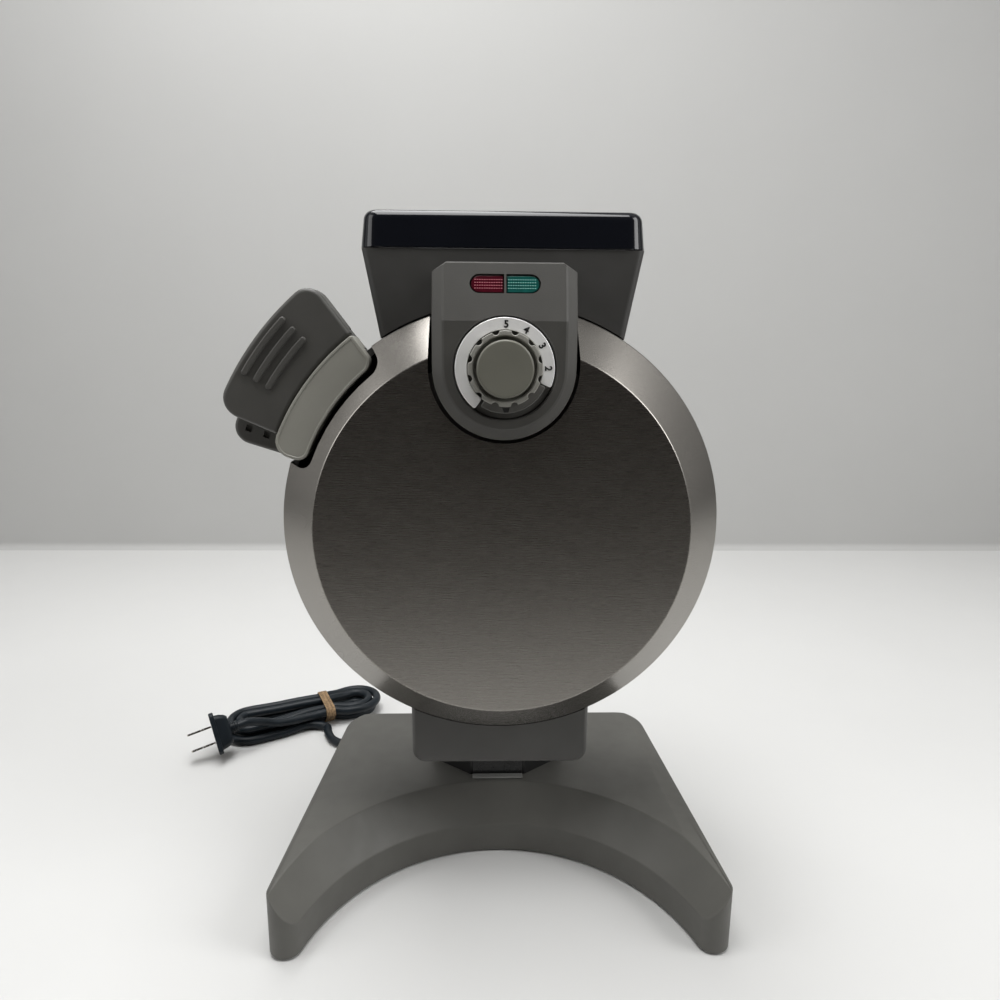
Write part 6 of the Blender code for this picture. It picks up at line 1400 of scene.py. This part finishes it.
def make_materials():
    """Every look, with the shell's lines along world X and a floor painted dim far in front: painted shade
    for the dim room there, which the steel face reflects.
    """
    made = {name: surface(name, *facts, **more) for name, (*facts, more) in LOOKS.items()}
    tree = made["brushed_shell"].node_tree
    feed(tree, tree.nodes["Principled BSDF"], Anisotropic=BRUSH_ANISOTROPY,
         Anisotropic_Rotation=BRUSH_ROTATION, Tangent=add_node(tree, "CombineXYZ", "Vector", X=1.0))
    tree = made["floor"].node_tree
    shader = tree.nodes["Principled BSDF"]
    pale = shader.inputs["Base Color"].links[0].from_socket
    depth = add_node(tree, "SeparateXYZ", "Y", Vector=add_node(tree, "TexCoord", "Object"))
    feed(tree, shader, Base_Color=blend_colours(tree, remap(tree, depth, 0, 1, *FLOOR_SHADE_FADE), FAR_FLOOR_PAINTED_SHADE,
                                                pale))
    return made


# Stage, light and camera

def make_stage():
    """A pale floor that curves up into a wall."""
    section = [(STAGE_FRONT_Y, 0)]
    section += [(WALL_Y - COVE_RADIUS + COVE_RADIUS * sin(a), COVE_RADIUS * (1 - cos(a)))
                for a in (pi / 2 * i / COVE_STEPS for i in range(COVE_STEPS + 1))]
    section.append((WALL_Y, STAGE_TOP))
    shape = bmesh.new()
    rows = [[shape.verts.new((side * STAGE_HALF_WIDTH, y, z)) for side in (-1, 1)] for y, z in section]
    for first, second in zip(rows, rows[1:]):
        shape.faces.new((*first, *second[::-1]))
    item = from_shape(shape)
    item.name = "stage"
    for name in ("floor", "wall"):
        item.data.materials.append(materials[name])
    for face in item.data.polygons:
        face.material_index = int(face.center.z > 0)


def make_lights():
    for name, (place, target, size, watts) in LIGHTS.items():
        data = bpy.data.lights.new(name, "AREA")
        data.shape = "RECTANGLE"
        data.size, data.size_y = size
        data.energy = watts
        item = put(name, data)
        item.location = place
        item.rotation_euler = (Vector(target) - Vector(place)).to_track_quat("-Z", "Y").to_euler()


def make_world():
    """A soft room: pale behind and above, dim in front."""
    world = bpy.data.worlds.new("room")
    bpy.context.scene.world = world
    world.use_nodes = True
    tree = world.node_tree
    depth = add_node(tree, "SeparateXYZ", "Y", Vector=add_node(tree, "TexCoord", "Generated"))
    ramp = tree.nodes.new("ShaderNodeValToRGB")
    feed(tree, ramp, Fac=remap(tree, depth, 0, 1, -1, 1))
    stops = ramp.color_ramp.elements
    for position, _ in ROOM_STOPS[1:-1]:
        stops.new(position)
    for stop, (position, colour) in zip(stops, ROOM_STOPS):
        stop.position = position
        stop.color = (*colour, 1)
    feed(tree, tree.nodes["Background"], Color=ramp.outputs["Color"], Strength=ROOM_STRENGTH)


def make_camera():
    data = bpy.data.cameras.new("camera")
    data.lens = LENS
    item = put("camera", data)
    item.matrix_world = (move(*CAMERA_PLACE) @ turn(-CAMERA_YAW_DEG, "Z") @ turn(90 - CAMERA_PITCH_DEG, "X")
                         @ turn(CAMERA_ROLL_DEG, "Z"))
    bpy.context.scene.camera = item
    bpy.context.scene.view_settings.view_transform = "Standard"


# Assembly

def dress(name, item, look, slot, body, nodes, smooth_deg=SMOOTH_DEG):
    """Finish a piece, put it on its body and let it stand for its CAD nodes."""
    item.name = name
    item.data.materials.clear()
    item.data.materials.append(materials[look])
    if item.type == "MESH":
        item.data.shade_smooth()
        item.data.set_sharp_from_angle(angle=radians(smooth_deg))
        modifier = item.modifiers.new("flat_faces", "WEIGHTED_NORMAL")
        modifier.keep_sharp = True
        modifier.weight = NORMAL_WEIGHT
    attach(item, body)
    if nodes:
        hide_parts(*nodes)
    return item


def dress_cad_nodes():
    """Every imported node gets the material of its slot."""
    for part in frame["record"]["subparts"]:
        item = frame["nodes"][part["node"]]
        item.data.materials.clear()
        item.data.materials.append(materials[part["material_slot"]])


def dress_cord():
    cord = dress("power_cord", power_cord(), "cord_black_blue_sheen", "black_plastic", "stand",
                 ["cord_lead", "cord_hank", "cord_tail"])
    dress("gland_skin", gland_skin(), "black_plastic", "black_plastic", "stand", ["cord_gland"])
    tie = dress("elastic_tie", elastic_tie(), "elastic", "elastic", "stand", ["cord_tie"])
    plug = dress("plug_skin", plug_skin(), "cord_black_blue_sheen", "black_plastic", "stand", ["power_plug"])
    blades = [dress(f"blade_skin_{i}", blade_skin(side), "blade_brass", "silver", "stand",
                    [f"plug_blade_{i}"]) for i, side in ((1, -1), (2, 1))]


# Each piece has its maker, look, slot and CAD nodes, and where it isn't SMOOTH_DEG, its smoothing angle
PIECES = {
    "stand": {
        "base_skin": (base_skin, "base_grey", "base_grey", ["base_shell"], 24),
        "column_skin": (column_skin, "column_shade_black", "black_plastic", ["column"]),
        "strap_skin": (strap_skin, "strap_steel", "steel", ["hinge_bracket"]),
        "strap_foot_skin": (strap_foot_skin, "lit_foot_steel", "steel", []),
        "rear_ring_skin": (ring_skin, "black_plastic", "black_plastic", ["rear_ring"]),
        "back_skin": (back_skin, "black_plastic", "black_plastic", ["rear_shell"]),
        "rear_handle_skin": (rear_handle_skin, "dark_grey", "black_plastic", ["rear_handle"]),
        "rear_cover_skin": (rear_cover_skin, "black_plastic", "black_plastic", ["rear_handle_cover"]),
        "spout_skin": (spout_skin, "spout_grey", "black_plastic", ["spout_housing"]),
        "chute_skin": (chute_skin, "black_plastic", "black_plastic", ["batter_chute"]),
        "rim_skin": (rim_skin, "gloss_black", "gloss_black", ["spout_rim"]),
    },
    "door": {
        "steel_dish": (steel_dish, "brushed_shell", "brushed_shell", ["front_shell"], 25),
        "front_ring_skin": (front_ring_skin, "neck_grey", "neck_grey", ["front_ring"]),
        "cover_skin": (cover_skin, "neck_grey", "neck_grey", ["hinge_cover"]),
        "housing_skin": (housing_skin, "dark_grey", "dark_grey", ["control_housing"], 14),
        "red_lens_skin": (lambda: lens_skin(-1), "red_lens", "red_lens", ["red_lens"]),
        "green_lens_skin": (lambda: lens_skin(1), "green_lens", "green_lens", ["green_lens"]),
        "red_dashes": (lambda: lens_dashes(-1), "dash_red", "red_lens", []),
        "green_dashes": (lambda: lens_dashes(1), "dash_green", "green_lens", []),
        "bracket_skin": (bracket_skin, "bracket_grey", "dark_grey", ["handle_bracket"]),
    },
    "dial": {
        "knob_flange": (knob_flange, "flange_grey_tab_shade", "black_plastic", ["browning_knob"]),
        "knob_grip": (knob_grip, "grip_grey", "black_plastic", []),
        "knob_pointer": (knob_pointer, "ink", "black_plastic", []),
        "number_ring": (number_ring, "silver", "silver", ["dial_ring"]),
        "number_marks": (number_marks, "ink", "black_plastic", []),
        "cap_skin": (cap_skin, "cap_grey", "dark_grey", ["knob_cap"]),
    },
    "latch": {
        "paddle_skin": (paddle_skin, "dark_grey", "dark_grey", ["latch_paddle"]),
    },
}

materials = make_materials()
make_camera()
make_world()
make_lights()
make_stage()
dress_cad_nodes()
dress_cord()
for body, pieces in PIECES.items():
    for name, (maker, look, slot, nodes, *smooth_deg) in pieces.items():
        dress(name, maker(), look, slot, body, nodes, *smooth_deg)
